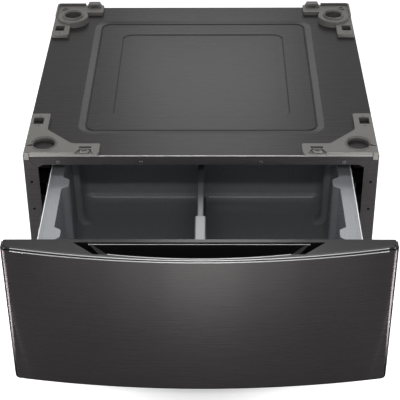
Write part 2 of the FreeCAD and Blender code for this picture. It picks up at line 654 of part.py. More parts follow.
def front_bracket():
    """Right front corner plate with its foot well, window, slot, snap catch and locating pegs."""
    def place(inward, back, z):
        return point(HALF_WIDTH - inward, FRONT_Y + back, z)

    diagonal = (FRONT_WELL_RADIUS + FRONT_WALL) * math.sqrt(2)
    corners = [(BRACKET_EDGE, 0), (FRONT_ARM_LENGTH, 0), (FRONT_ARM_LENGTH, FRONT_ARM_WIDTH),
               (FRONT_WELL_IN + diagonal + FRONT_WELL_BACK - FRONT_ARM_WIDTH, FRONT_ARM_WIDTH),
               (FRONT_SIDE_ARM_WIDTH, FRONT_WELL_BACK + diagonal + FRONT_WELL_IN - FRONT_SIDE_ARM_WIDTH),
               (FRONT_SIDE_ARM_WIDTH, FRONT_ARM_LENGTH), (BRACKET_EDGE, FRONT_ARM_LENGTH)]
    end = BRACKET_ARM_END_RADIUS
    radii = [BRACKET_CORNER_RADIUS, end, end, BRACKET_BLEND, BRACKET_BLEND, end, end]
    outline = [place(inward, back, TOP_Z) for inward, back in corners]
    plate = prism(outline, radii, Z_AXIS * BRACKET_THICKNESS)
    upper_z = TOP_Z + BRACKET_THICKNESS

    lug_in = BRACKET_EDGE + LUG_WIDTH / 2
    lug = block((HALF_WIDTH - lug_in - LUG_WIDTH / 2, HALF_WIDTH - lug_in + LUG_WIDTH / 2),
                (FRONT_Y - LUG_THICKNESS, FRONT_Y), (TOP_Z - LUG_DROP, upper_z))
    root = block((HALF_WIDTH - lug_in - LUG_WIDTH / 2, HALF_WIDTH - lug_in + LUG_WIDTH / 2),
                 (FRONT_Y, FRONT_Y + BRACKET_CORNER_RADIUS), (TOP_Z, upper_z))
    pegs = [rod(PEG_RADIUS, peg - Z_AXIS * PEG_LENGTH, Z_AXIS, PEG_LENGTH) for peg in peg_places()[0]]
    rim_radius = FRONT_WELL_RADIUS + FRONT_RIM_WIDTH
    rim = Part.makeCone(rim_radius, rim_radius - FRONT_RIM_HEIGHT / 2, FRONT_RIM_HEIGHT,
                        place(FRONT_WELL_IN, FRONT_WELL_BACK, upper_z), Z_AXIS)
    pips = [pip(place(WINDOW_IN, FRONT_WINDOW_BACK + shift, upper_z)) for shift in (-PIP_SPACING, PIP_SPACING)]
    plate = fused(plate, rim, *pips, lug, root, *pegs)

    rim_z = upper_z + FRONT_RIM_HEIGHT
    well = rod(FRONT_WELL_RADIUS, place(FRONT_WELL_IN, FRONT_WELL_BACK, TOP_Z), Z_AXIS, rim_z - TOP_Z)
    bevel = Part.makeCone(FRONT_WELL_RADIUS, FRONT_WELL_RADIUS + WELL_BEVEL, WELL_BEVEL,
                          place(FRONT_WELL_IN, FRONT_WELL_BACK, rim_z - WELL_BEVEL), Z_AXIS)
    channel_y = FRONT_Y + FRONT_WELL_BACK - FRONT_WELL_RADIUS / 2
    channel = block((HALF_WIDTH - FRONT_WELL_IN, HALF_WIDTH), (channel_y, channel_y + FRONT_CHANNEL_WIDTH),
                    (upper_z - FRONT_CHANNEL_DEPTH, rim_z))
    window_x = (HALF_WIDTH - WINDOW_IN - WINDOW_WIDTH / 2, HALF_WIDTH - WINDOW_IN + WINDOW_WIDTH / 2)
    window_y = FRONT_Y + FRONT_WINDOW_BACK
    window = block(window_x, (window_y - WINDOW_LENGTH / 2, window_y + WINDOW_LENGTH / 2), (TOP_Z, upper_z))
    slot_x = HALF_WIDTH - FRONT_SLOT_IN
    slot_y = FRONT_Y + FRONT_SLOT_BACK
    slot = block((slot_x - FRONT_SLOT_LENGTH / 2, slot_x + FRONT_SLOT_LENGTH / 2),
                 (slot_y - FRONT_SLOT_WIDTH / 2, slot_y + FRONT_SLOT_WIDTH / 2), (TOP_Z, upper_z))
    recess_z = upper_z - CATCH_RECESS
    recess = prism([place(FRONT_SLOT_IN - CATCH_BASE / 2, 0, recess_z),
                    place(FRONT_SLOT_IN + CATCH_BASE / 2, 0, recess_z),
                    place(FRONT_SLOT_IN + CATCH_TIP / 2, CATCH_DEPTH, recess_z),
                    place(FRONT_SLOT_IN - CATCH_TIP / 2, CATCH_DEPTH, recess_z)],
                   [0, 0, BRACKET_EDGE, BRACKET_EDGE], Z_AXIS * CATCH_RECESS)
    button_place = place(FRONT_SLOT_IN, CATCH_DEPTH / 2, recess_z)
    button = stadium(button_place, BUTTON_LENGTH, BUTTON_WIDTH, CATCH_RECESS)
    button = button.cut(stadium(button_place, BUTTON_HOLE_LENGTH, BUTTON_HOLE_WIDTH, CATCH_RECESS))
    return fused(plate.cut([well, bevel, channel, window, slot, recess]), button)


def rear_bracket():
    """Right rear corner plate with a raised ring round its foot well, a hump and a screw boss."""
    def place(inward, forward, z):
        return point(HALF_WIDTH - inward, REAR_Y - forward, z)

    corners = [(BRACKET_EDGE, REAR_EDGE), (REAR_ARM_LENGTH, REAR_EDGE), (REAR_ARM_LENGTH, REAR_ARM_WIDTH),
               (REAR_SIDE_ARM_WIDTH, REAR_ARM_WIDTH), (REAR_SIDE_ARM_WIDTH, REAR_SIDE_ARM_LENGTH),
               (BRACKET_EDGE, REAR_SIDE_ARM_LENGTH)]
    end = BRACKET_ARM_END_RADIUS
    outline = [place(inward, forward, TOP_Z) for inward, forward in corners]
    plate = prism(outline, [BRACKET_CORNER_RADIUS, end, end, end, end, end], Z_AXIS * BRACKET_THICKNESS)
    upper_z = TOP_Z + BRACKET_THICKNESS

    centre = place(REAR_WELL_IN, REAR_WELL_FORWARD, TOP_Z)
    ring = Part.makeCone(RING_RADIUS + RING_DRAFT, RING_RADIUS, RING_SHOULDER, centre, Z_AXIS)
    collar = Part.makeCone(COLLAR_RADIUS + RING_DRAFT, COLLAR_RADIUS, RING_HEIGHT, centre, Z_AXIS)
    fence = prism([place(BRACKET_EDGE, REAR_EDGE, upper_z), place(FENCE_LENGTH, REAR_EDGE, upper_z),
                   place(FENCE_LENGTH, FENCE_LENGTH, upper_z), place(BRACKET_EDGE, FENCE_LENGTH, upper_z)],
                  [BRACKET_CORNER_RADIUS, 0, 0, 0], Z_AXIS * FENCE_HEIGHT)
    fence_inside = BRACKET_EDGE + FENCE_WALL
    fence = fence.cut(prism([place(fence_inside, REAR_EDGE + FENCE_WALL, upper_z),
                             place(FENCE_LENGTH + OVERRUN, REAR_EDGE + FENCE_WALL, upper_z),
                             place(FENCE_LENGTH + OVERRUN, FENCE_LENGTH + OVERRUN, upper_z),
                             place(fence_inside, FENCE_LENGTH + OVERRUN, upper_z)],
                            [BRACKET_CORNER_RADIUS - FENCE_WALL, 0, 0, 0], Z_AXIS * FENCE_HEIGHT))
    pips = [pip(place(WINDOW_IN, REAR_WINDOW_FORWARD + PIP_SPACING, upper_z))]
    hump = prism([place(HUMP_IN - HUMP_BASE / 2, REAR_EDGE, upper_z),
                  place(HUMP_IN + HUMP_BASE / 2, REAR_EDGE, upper_z),
                  place(HUMP_IN + HUMP_TOP / 2, REAR_EDGE, upper_z + HUMP_HEIGHT),
                  place(HUMP_IN - HUMP_TOP / 2, REAR_EDGE, upper_z + HUMP_HEIGHT)],
                 [0, 0, BRACKET_EDGE, BRACKET_EDGE], Y_AXIS * -HUMP_DEPTH)
    boss = rod(BOSS_RADIUS, place(BOSS_IN, BOSS_FORWARD, TOP_Z), Z_AXIS, BRACKET_THICKNESS + BOSS_HEIGHT)
    pegs = [rod(PEG_RADIUS, peg - Z_AXIS * PEG_LENGTH, Z_AXIS, PEG_LENGTH) for peg in peg_places()[1]]
    plate = fused(plate, ring, collar, fence, hump, boss, *pips, *pegs)

    ring_z = TOP_Z + RING_HEIGHT
    well = rod(REAR_WELL_RADIUS, place(REAR_WELL_IN, REAR_WELL_FORWARD, TOP_Z), Z_AXIS, RING_HEIGHT)
    bevel = Part.makeCone(REAR_WELL_RADIUS, REAR_WELL_RADIUS + WELL_BEVEL, WELL_BEVEL,
                          place(REAR_WELL_IN, REAR_WELL_FORWARD, ring_z - WELL_BEVEL), Z_AXIS)
    window_x = (HALF_WIDTH - WINDOW_IN - WINDOW_WIDTH / 2, HALF_WIDTH - WINDOW_IN + WINDOW_WIDTH / 2)
    window_y = REAR_Y - REAR_WINDOW_FORWARD
    window = block(window_x, (window_y - WINDOW_LENGTH / 2, window_y + WINDOW_LENGTH / 2), (TOP_Z, upper_z))
    slot_x = HALF_WIDTH - HUMP_IN
    slot = block((slot_x - HUMP_SLOT_WIDTH / 2, slot_x + HUMP_SLOT_WIDTH / 2),
                 (REAR_Y - REAR_EDGE - HUMP_DEPTH, REAR_Y - REAR_EDGE), (upper_z, upper_z + HUMP_SLOT_HEIGHT))
    seat = rod(SCREW_HEAD_RADIUS + FIT_GAP, place(BOSS_IN, BOSS_FORWARD, upper_z), Z_AXIS, BOSS_HEIGHT)
    plate = plate.cut([well, bevel, window, slot, seat])
    return drilled(plate, bracket_screw_places(), Z_AXIS * -1, BRACKET_SCREW_LENGTH)


# Levelling feet

def foot_places():
    return {"front_left": point(-FOOT_X, FOOT_FRONT_Y, 0), "front_right": point(FOOT_X, FOOT_FRONT_Y, 0),
            "rear_left": point(-FOOT_X, FOOT_REAR_Y, 0), "rear_right": point(FOOT_X, FOOT_REAR_Y, 0)}


def gusset(place):
    """Corner plate in the base rail, with the threaded boss that carries one foot."""
    side = math.copysign(1, place.x)
    ahead = place.y < (FRONT_Y + REAR_Y) / 2
    corner_y = FRONT_Y + 2 * SHEET if ahead else SIDE_REAR_Y - 2 * SHEET
    inward_y = GUSSET_REACH if ahead else -GUSSET_REACH
    tip_y = math.copysign(GUSSET_TIP, inward_y)
    corner_x = side * INNER_HALF
    corners = [point(corner_x, corner_y, GUSSET_Z), point(corner_x - side * GUSSET_REACH, corner_y, GUSSET_Z),
               point(corner_x - side * GUSSET_REACH, corner_y + tip_y, GUSSET_Z),
               point(corner_x - side * GUSSET_TIP, corner_y + inward_y, GUSSET_Z),
               point(corner_x, corner_y + inward_y, GUSSET_Z)]
    plate = prism(corners, [0] * len(corners), Z_AXIS * GUSSET_THICKNESS)
    base = point(place.x, place.y, GUSSET_Z)
    height = GUSSET_THICKNESS + GUSSET_BOSS_HEIGHT
    boss = rod(GUSSET_BOSS_RADIUS, base, Z_AXIS, height)
    hole = rod(STUD_RADIUS + RUNNING_GAP, base - Z_AXIS * OVERRUN, Z_AXIS, height + 2 * OVERRUN)
    return fused(plate, boss).cut(hole)


def foot_stud(place):
    top_z = GUSSET_Z + GUSSET_THICKNESS + GUSSET_BOSS_HEIGHT + STUD_TOP_SPARE
    low_z = PAD_FLOOR + MOVING_GAP
    return rod(STUD_RADIUS, point(place.x, place.y, low_z), Z_AXIS, top_z - low_z)


def foot_lock_nut(place):
    nut = hexagon(NUT_ACROSS_FLATS, NUT_Z).extrude(Z_AXIS * NUT_HEIGHT)
    nut = nut.cut(rod(STUD_RADIUS + RUNNING_GAP, point(0, 0, NUT_Z), Z_AXIS, NUT_HEIGHT))
    nut.translate(place)
    return nut


def foot_pad(place):
    """Round pad with a hexagonal neck that turns under the lock nut."""
    profile = [point(0, 0, 0), point(PAD_RADIUS, 0, 0), point(PAD_RADIUS, 0, PAD_RIM),
               point(PAD_TOP_RADIUS, 0, PAD_HEIGHT), point(0, 0, PAD_HEIGHT)]
    pad = Part.Face(Part.makePolygon(profile + profile[:1])).revolve(ORIGIN, Z_AXIS, 360)
    neck_height = NUT_Z - MOVING_GAP - PAD_HEIGHT
    neck = hexagon(PAD_HEX_ACROSS_FLATS, PAD_HEIGHT).extrude(Z_AXIS * neck_height)
    pad = fused(pad, neck)
    pad = pad.cut(rod(STUD_RADIUS + RUNNING_GAP, point(0, 0, PAD_FLOOR), Z_AXIS, NUT_Z))
    pad.translate(place)
    return pad


# Ball slides on the right; depth is measured from the cabinet side towards the drawer

def slide_prism(corners, bends, start_y, length):
    outline = [point(SLIDE_X - corner.x, start_y, SLIDE_Z + corner.z) for corner in corners]
    return prism(outline, bends, Y_AXIS * length)


def slide_outer():
    corners, bends = channel_section(0, SLIDE_LIP, OUTER_HALF, SLIDE_GAUGE)
    return slide_prism(corners, bends, SLIDE_Y, SLIDE_LENGTH)


def slide_middle():
    corners, bends = channel_section(MIDDLE_IN, SLIDE_LIP, MIDDLE_HALF, SLIDE_GAUGE)
    return slide_prism(corners, bends, SLIDE_Y - OPEN_TRAVEL * MIDDLE_SHARE, SLIDE_LENGTH)


def slide_inner():
    corners, bends = channel_section(SLIDE_THICKNESS, RUNNER_IN, INNER_RUNNER_HALF, SLIDE_GAUGE)
    runner = slide_prism(corners, bends, SLIDE_Y - OPEN_TRAVEL, SLIDE_LENGTH)
    return drilled(runner, [place for place in runner_screw_places() if place.x > 0], X_AXIS)


def ball_places(web_in, ball_height, start_y):
    pitch = CAGE_LENGTH / BALLS_IN_ROW
    depth = web_in + CAGE_GAUGE + CAGE_FLANGE / 2
    return [point(SLIDE_X - depth, start_y + pitch / 2 + pitch * index, SLIDE_Z + side * ball_height)
            for side in (-1, 1) for index in range(BALLS_IN_ROW)]


def ball_cage(web_in, ball_height, start_y):
    """Thin channel that spaces the balls, with a round hole for each of them."""
    half_height = ball_height + CAGE_STRIP / 2
    tip_in = web_in + CAGE_GAUGE + CAGE_FLANGE
    corners, bends = channel_section(web_in, tip_in, half_height, CAGE_STRIP)
    cage = slide_prism(corners, bends, start_y, CAGE_LENGTH)
    trim_in = web_in + CAGE_GAUGE
    trim = block((SLIDE_X - trim_in - CAGE_STRIP, SLIDE_X - trim_in), (start_y, start_y + CAGE_LENGTH),
                 (SLIDE_Z - ball_height + CAGE_STRIP / 2, SLIDE_Z + ball_height - CAGE_STRIP / 2))
    cage = cage.cut(trim)
    for place in ball_places(web_in, ball_height, start_y):
        hole = rod(BALL_RADIUS + BALL_HOLE_GAP, place - Z_AXIS * CAGE_STRIP, Z_AXIS, 2 * CAGE_STRIP)
        cage = cage.cut(hole)
    return cage


def balls(web_in, ball_height, start_y):
    return [Part.makeSphere(BALL_RADIUS, place) for place in ball_places(web_in, ball_height, start_y)]


def outer_cage_place():
    return OUTER_CAGE_IN, OUTER_BALL, SLIDE_Y + CAGE_SETBACK - OPEN_TRAVEL * OUTER_CAGE_SHARE


def inner_cage_place():
    return INNER_CAGE_IN, INNER_BALL, SLIDE_Y + CAGE_SETBACK - OPEN_TRAVEL * INNER_CAGE_SHARE


def standoff(setback):
    """Hat section that carries the slide off the side panel."""
    back = INNER_HALF
    web = SLIDE_X
    gauge = STANDOFF_GAUGE
    half = [(web, STANDOFF_HALF_HEIGHT), (back - gauge, STANDOFF_HALF_HEIGHT),
            (back - gauge, STANDOFF_HALF_HEIGHT + STANDOFF_FOOT), (back, STANDOFF_HALF_HEIGHT + STANDOFF_FOOT),
            (back, STANDOFF_HALF_HEIGHT - gauge), (web + gauge, STANDOFF_HALF_HEIGHT - gauge)]
    outline = [point(x, FRONT_Y + setback, SLIDE_Z + z) for x, z in half]
    outline += [point(x, FRONT_Y + setback, SLIDE_Z - z) for x, z in reversed(half)]
    bends = [gauge, 0, 0, 0, 0, 0]
    return prism(outline, bends + bends[::-1], Y_AXIS * STANDOFF_LENGTH)


# Drawer front

def bowed_outline(z, margin, rear):
    """Outline of the drawer front at one height: straight back and sides, rounded corners, bowed face."""
    share = (z - FRONT_BOTTOM_Z) / FRONT_HEIGHT
    edge_depth = FRONT_EDGE_BOTTOM + (FRONT_EDGE_TOP - FRONT_EDGE_BOTTOM) * share
    centre_depth = FRONT_DEPTH_BOTTOM + (FRONT_DEPTH_TOP - FRONT_DEPTH_BOTTOM) * share
    half = FRONT_HALF - margin
    centre_y = DRAWER_Y - centre_depth + margin
    sag = centre_depth - edge_depth
    radius = (half ** 2 + sag ** 2) / (2 * sag)
    corner = FRONT_CORNER - margin
    hub = point(0, centre_y + radius, z)
    turn_x = half - corner
    turn = point(turn_x, hub.y - math.sqrt((radius - corner) ** 2 - turn_x ** 2), z)
    to_side = X_AXIS * corner
    to_face = (turn - hub) * (corner / (radius - corner))
    to_crown = to_side + to_face
    to_crown.normalize()
    right = [turn + to_side, turn + to_crown * corner, turn + to_face]
    left = [point(-place.x, place.y, z) for place in reversed(right)]
    rear_left = point(-half, rear, z)
    rear_right = point(half, rear, z)
    return Part.Wire([Part.LineSegment(rear_left, left[2]).toShape(),
                      Part.Arc(left[2], left[1], left[0]).toShape(),
                      Part.Arc(left[0], point(0, centre_y, z), right[2]).toShape(),
                      Part.Arc(right[2], right[1], right[0]).toShape(),
                      Part.LineSegment(right[0], rear_right).toShape(),
                      Part.LineSegment(rear_right, rear_left).toShape()])


def bowed_body(levels, rear):
    """Solid drawer front through its outlines at several heights; the face leans out towards the top."""
    return Part.makeLoft([bowed_outline(z, margin, rear) for z, margin in levels], True, True)


def foot_levels(low_z, radius, margin):
    return [(low_z + rise, margin + inward) for rise, inward in quarter_round(radius, radius, ROUND_STEPS)]


def brow_levels(high_z, width, height, margin):
    levels = [(high_z - rise, margin + inward) for rise, inward in quarter_round(width, height, ROUND_STEPS)]
    return levels[::-1]


def drawer_front_skin():
    """Bowed steel skin: face, rounded ends, sides, the fold under the bottom and a round hem along the top."""
    hem_z = SKIN_TOP_Z - HEM_DEPTH
    crown = HEM_WIDTH * HEM_ROUND_SHARE
    outer = bowed_body(foot_levels(FRONT_BOTTOM_Z, FRONT_FOOT_RADIUS, 0)
                       + brow_levels(SKIN_TOP_Z, crown, crown, 0), DRAWER_Y)
    inner = bowed_body(foot_levels(FRONT_BOTTOM_Z + SHEET, FRONT_FOOT_RADIUS - SHEET, SHEET) + [(hem_z, SHEET)],
                       DRAWER_Y + OVERRUN)
    mouth = [(hem_z - HEM_DEPTH, HEM_WIDTH)] + brow_levels(SKIN_TOP_Z, -crown, crown, HEM_WIDTH)
    mouth += [(SKIN_TOP_Z + OVERRUN, HEM_WIDTH - crown)]
    return outer.cut([inner, bowed_body(mouth, DRAWER_Y + OVERRUN)])


def pocket(margin, depth):
    """Pull pocket: wide at the back, slanted ends, front wall along the bow."""
    def outline(z, shrink):
        rear_y = DRAWER_Y - POCKET_REAR + margin - shrink
        slope = POCKET_END_SLOPE * shrink / POCKET_DRAFT
        half_rear = FRONT_HALF * POCKET_REAR_SHARE + margin - slope
        half_front = FRONT_HALF * POCKET_FRONT_SHARE + margin - slope
        forward = margin - shrink
        rear_left = point(-half_rear, rear_y, z)
        rear_right = point(half_rear, rear_y, z)
        left = point(-half_front, POCKET_END_Y - forward, z)
        right = point(half_front, POCKET_END_Y - forward, z)
        return Part.Wire([Part.LineSegment(rear_left, left).toShape(),
                          Part.Arc(left, point(0, POCKET_MIDDLE_Y - forward, z), right).toShape(),
                          Part.LineSegment(right, rear_right).toShape(),
                          Part.LineSegment(rear_right, rear_left).toShape()])

    high_z = FRONT_TOP_Z + OVERRUN
    low_z = FRONT_TOP_Z - depth
    draft = POCKET_DRAFT * (high_z - low_z) / POCKET_DEPTH
    return Part.makeLoft([outline(high_z, 0), outline(low_z, draft)], True, True)


def pocket_step(margin):
    """Recess in the deck behind the pull pocket and beside its ends; its floor falls towards the pocket."""
    half_rear = FRONT_HALF * POCKET_STEP_REAR_SHARE + margin
    half_front = FRONT_HALF * POCKET_STEP_FRONT_SHARE + margin
    rear_y = DRAWER_Y - POCKET_STEP_REAR + margin
    end_y = POCKET_END_Y - margin
    rear_z = FRONT_TOP_Z - POCKET_STEP_DROP - margin
    end_z = rear_z - (rear_y - end_y) * POCKET_STEP_SLOPE_SHARE
    corners = [point(-half_front, end_y, end_z), point(half_front, end_y, end_z),
               point(half_rear, rear_y, rear_z), point(-half_rear, rear_y, rear_z)]
    return prism(corners, [0] * len(corners), Z_AXIS * POCKET_DEPTH)


def pocket_scoop(side, margin):
    """Groove at one end of the pull pocket: it falls from the deck to the foot of a ridge beside the pocket."""
    def section(y, outer_share, inner_share):
        outer_x = FRONT_HALF * outer_share + margin
        inner_x = FRONT_HALF * inner_share + POCKET_RIDGE - margin
        edge_z = FRONT_TOP_Z - POCKET_STEP_DROP - margin
        foot_z = edge_z - (outer_x - inner_x) * SCOOP_SLOPE_SHARE
        high_z = FRONT_TOP_Z + OVERRUN
        return Part.makePolygon([point(side * outer_x, y, high_z), point(side * outer_x, y, edge_z),
                                 point(side * inner_x, y, foot_z), point(side * inner_x, y, high_z),
                                 point(side * outer_x, y, high_z)])

    rear = section(DRAWER_Y - POCKET_STEP_REAR + margin, POCKET_STEP_REAR_SHARE, POCKET_REAR_SHARE)
    front = section(POCKET_END_Y - margin, POCKET_STEP_FRONT_SHARE, POCKET_FRONT_SHARE)
    return Part.makeLoft([rear, front], True, True)


def drawer_front_cap():
    """Moulded top of the drawer front: deck with rounded edges, skirt and the long stepped pull pocket."""
    margin = HEM_WIDTH + FIT_GAP
    body = bowed_body([(CAP_BOTTOM_Z, margin)]
                      + brow_levels(FRONT_TOP_Z, CAP_EDGE_WIDTH, CAP_EDGE_HEIGHT, margin), DRAWER_Y)
    inside = margin + CAP_WALL
    hollow = bowed_body([(CAP_BOTTOM_Z - OVERRUN, inside), (FRONT_TOP_Z - CAP_EDGE_HEIGHT - CAP_WALL, inside)],
                        DRAWER_Y - CAP_WALL)
    tub = pocket(CAP_WALL, POCKET_DEPTH + CAP_WALL).common(body)
    ledge = pocket_step(CAP_WALL).common(body)
    scoops = [pocket_scoop(side, CAP_WALL).common(body) for side in (-1, 1)]
    hollows = [pocket(0, POCKET_DEPTH), pocket_step(0)] + [pocket_scoop(side, 0) for side in (-1, 1)]
    return fused(body.cut(hollow), tub, ledge, *scoops).cut(hollows)


def drawer_front_back():
    """Steel pan that closes the drawer front behind, under the cap."""
    def slab(margin, rear_y):
        half = FRONT_HALF - SHEET - FIT_GAP - margin
        low_z = FRONT_BOTTOM_Z + SHEET + margin
        high_z = CAP_BOTTOM_Z - margin
        corners = [point(-half, rear_y, low_z), point(half, rear_y, low_z), point(half, rear_y, high_z),
                   point(-half, rear_y, high_z)]
        foot = FRONT_FOOT_RADIUS - margin
        return prism(corners, [foot, foot, 0, 0], Y_AXIS * -BACK_FLANGE)

    pan = slab(0, DRAWER_Y).cut(slab(SHEET, DRAWER_Y - SHEET))
    return drilled(pan, tab_screw_places(), Y_AXIS * -1)


def closing_bumpers():
    across = HALF_WIDTH - STILE_HOLE_INSET
    places = both_sides([point(across, DRAWER_Y, TOP_Z - BUMPER_DROP),
                         point(across, DRAWER_Y, FRONT_BOTTOM_Z + BUMPER_RISE)])
    height = CLOSED_GAP - MOVING_GAP
    return [Part.makeCone(BUMPER_RADIUS, BUMPER_RADIUS - height / 2, height, place, Y_AXIS) for place in places]


# Drawer bin

def bin_outline(z, shrink):
    """Inside of the bin at one height: rounded rectangle with three pilasters on each side."""
    half = BIN_HALF_WIDTH - shrink
    tip = half - PILASTER_DEPTH
    right = []
    radii = []
    for index in (-1, 0, 1):
        centre = BIN_MIDDLE_Y + PILASTER_PITCH * index
        right += [point(half, centre - PILASTER_BASE / 2, z), point(tip, centre - PILASTER_TIP / 2, z),
                  point(tip, centre + PILASTER_TIP / 2, z), point(half, centre + PILASTER_BASE / 2, z)]
        radii += [PILASTER_ROOT, PILASTER_ROUND, PILASTER_ROUND, PILASTER_ROOT]
    right = [point(half, BIN_FRONT_Y + shrink, z)] + right + [point(half, BIN_REAR_Y - shrink, z)]
    radii = [BIN_CORNER] + radii + [BIN_CORNER]
    left = [point(-corner.x, corner.y, z) for corner in reversed(right)]
    return rounded_outline(right + left, radii + radii[::-1])


def bin_shrink(z):
    """How far the drafted walls stand inside the mouth of the bin at one height."""
    return BIN_DRAFT * (RIM_Z - z) / (RIM_Z - FLOOR_Z)


def bin_levels(floor_z, high_z):
    """Heights of the bin's sections, round foot first, and how far the wall stands in at each."""
    levels = [(floor_z + rise, bin_shrink(floor_z + rise) + inward)
              for rise, inward in quarter_round(BIN_FOOT, BIN_FOOT, BIN_FOOT_STEPS)]
    return levels + [(high_z, bin_shrink(high_z))]


def bin_volume(growth, floor_z, high_z):
    """Inside of the bin grown by a wall: drafted sides over a round foot."""
    wires = [bin_outline(z, shrink) for z, shrink in bin_levels(floor_z, high_z)]
    if growth > 0:
        wires = [wire.makeOffset2D(growth) for wire in wires]
    return Part.makeLoft(wires, True, True)


def drawer_bin():
    """Moulded tub with pilasters, hung by a wide rim with a turned-down lip."""
    tub = bin_volume(BIN_WALL, FLOOR_Z - BIN_WALL, RIM_Z)
    across = (-RIM_HALF_WIDTH, RIM_HALF_WIDTH)
    along = (DRAWER_Y, BIN_REAR_Y + RIM_REAR)
    rim = block(across, along, (RIM_Z - RIM_THICKNESS, RIM_Z))
    lip = block(across, along, (RIM_Z - RIM_LIP, RIM_Z + RIM_BEAD))
    lip = lip.cut(block(inset(across, RIM_LIP_WALL), (along[0] - OVERRUN, along[1] - RIM_LIP_WALL),
                        (RIM_Z - RIM_LIP - OVERRUN, RIM_Z + RIM_BEAD + OVERRUN)))
    groove_x = RIM_HALF_WIDTH - RIM_GROOVE_IN
    grooves = [block((side * groove_x, side * (groove_x - RIM_GROOVE_WIDTH)),
                     (along[0] - OVERRUN, along[1] + OVERRUN),
                     (RIM_Z - RIM_GROOVE_DEPTH, RIM_Z)) for side in (-1, 1)]
    return fused(tub, rim, lip).cut([bin_volume(0, FLOOR_Z, RIM_Z)] + grooves)


def divider_space(start_y):
    """Room for the divider inside the bin, from one place along the drawer to the rear wall."""
    reach = DIVIDER_POST_WIDTH
    ends = bin_levels(FLOOR_Z, TOP_Z - DIVIDER_DROP)
    side = [point(-reach, BIN_FRONT_Y + shrink, z) for z, shrink in ends]
    side += [point(-reach, BIN_REAR_Y - shrink, z) for z, shrink in reversed(ends)]
    space = prism(side, [0] * len(side), X_AXIS * (2 * reach))
    return space.common(block((-reach, reach), (start_y, BIN_REAR_Y), (BOTTOM_Z, TOP_Z)))


def drawer_divider():
    """Upright divider behind its post: foot, thin wall and beaded top edge."""
    high_z = TOP_Z - DIVIDER_DROP
    half_wall = DIVIDER_WALL / 2
    half_bead = DIVIDER_BEAD / 2
    half_foot = DIVIDER_FOOT / 2
    bead_z = high_z - DIVIDER_BEAD_DEPTH
    foot_z = FLOOR_Z + DIVIDER_FOOT_HEIGHT
    half = [(half_foot, FLOOR_Z), (half_foot, FLOOR_Z + DIVIDER_WALL), (half_wall, foot_z + DIVIDER_WALL),
            (half_wall, bead_z - half_bead), (half_bead, bead_z), (half_bead, high_z)]
    radii = [0, 0, half_wall, half_wall, half_wall, half_wall]
    outline = [point(x, BIN_FRONT_Y, z) for x, z in half]
    outline += [point(-x, BIN_FRONT_Y, z) for x, z in reversed(half)]
    wall = prism(outline, radii + radii[::-1], Y_AXIS * BIN_LENGTH)
    return wall.common(divider_space(BIN_FRONT_Y + DIVIDER_POST_LENGTH))


def divider_post():
    """Wide block at the front of the bin that holds the divider upright."""
    high_z = TOP_Z - DIVIDER_DROP
    half_post = DIVIDER_POST_WIDTH / 2
    half_post_foot = half_post + DIVIDER_WALL / 2
    corner = DIVIDER_WALL / 2
    post = prism([point(-half_post_foot, BIN_FRONT_Y, FLOOR_Z), point(half_post_foot, BIN_FRONT_Y, FLOOR_Z),
                  point(half_post, BIN_FRONT_Y, high_z), point(-half_post, BIN_FRONT_Y, high_z)],
                 [0, 0, corner, corner], Y_AXIS * DIVIDER_POST_LENGTH)
    return post.common(divider_space(BIN_FRONT_Y))


def side_frame():
    """Right steel frame: hangs the bin's rim, carries the runner and holds the drawer front by a tab."""
    web = FRAME_X
    tip = FRAME_X - FRAME_FLANGE
    gauge = FRAME_GAUGE
    section = [(web, FRAME_BOTTOM_Z), (web, FRAME_TOP_Z), (tip, FRAME_TOP_Z), (tip, FRAME_TOP_Z - gauge),
               (web - gauge, FRAME_TOP_Z - gauge), (web - gauge, FRAME_BOTTOM_Z + gauge),
               (tip, FRAME_BOTTOM_Z + gauge), (tip, FRAME_BOTTOM_Z)]
    frame = prism([point(x, DRAWER_Y, z) for x, z in section], [gauge, gauge, 0, 0, 0, 0, 0, 0],
                  Y_AXIS * FRAME_LENGTH)
    tab = prism([point(web - gauge, DRAWER_Y, SLIDE_Z - TAB_HEIGHT / 2),
                 point(web + TAB_REACH, DRAWER_Y, SLIDE_Z - TAB_HEIGHT / 2),
                 point(web + TAB_REACH, DRAWER_Y, SLIDE_Z + TAB_HEIGHT / 2),
                 point(web - gauge, DRAWER_Y, SLIDE_Z + TAB_HEIGHT / 2)],
                [0, SCREW_HEAD_RADIUS, SCREW_HEAD_RADIUS, 0], Y_AXIS * gauge)
    frame = fused(frame, tab)
    right = [place for place in tab_screw_places() if place.x > 0]
    frame = drilled(frame, right, Y_AXIS * -1)
    return drilled(frame, [place for place in runner_screw_places() if place.x > 0], X_AXIS)


# Assembly

def pair(right_shapes):
    """Left and right copies of pieces modelled on the right."""
    return {side + name: shape if side == "right_" else mirrored(shape)
            for name, shape in right_shapes.items() for side in ("left_", "right_")}


def cabinet_nodes():
    nodes = {"top_panel": top_panel(), "back_panel": back_panel(), "front_top_rail": front_top_rail(),
             "front_base_rail": front_base_rail(), "rear_base_rail": rear_base_rail()}
    nodes.update(pair({"side_panel": side_panel(), "slide_outer": slide_outer(),
                       "front_standoff": standoff(STANDOFF_FRONT), "rear_standoff": standoff(STANDOFF_REAR)}))
    for name, shape in (("front", front_bracket()), ("rear", rear_bracket())):
        nodes["bracket_" + name + "_right"] = shape
        nodes["bracket_" + name + "_left"] = mirrored(shape)
    nodes["rail_screws"] = short_screws(rail_screw_places(), Y_AXIS)
    nodes["back_screws"] = short_screws(top_rear_screw_places() + side_rear_screw_places(), Y_AXIS * -1)
    nodes["bracket_screws"] = Part.makeCompound([screw(place, Z_AXIS * -1, BRACKET_SCREW_LENGTH)
                                                 for place in bracket_screw_places()])
    return nodes


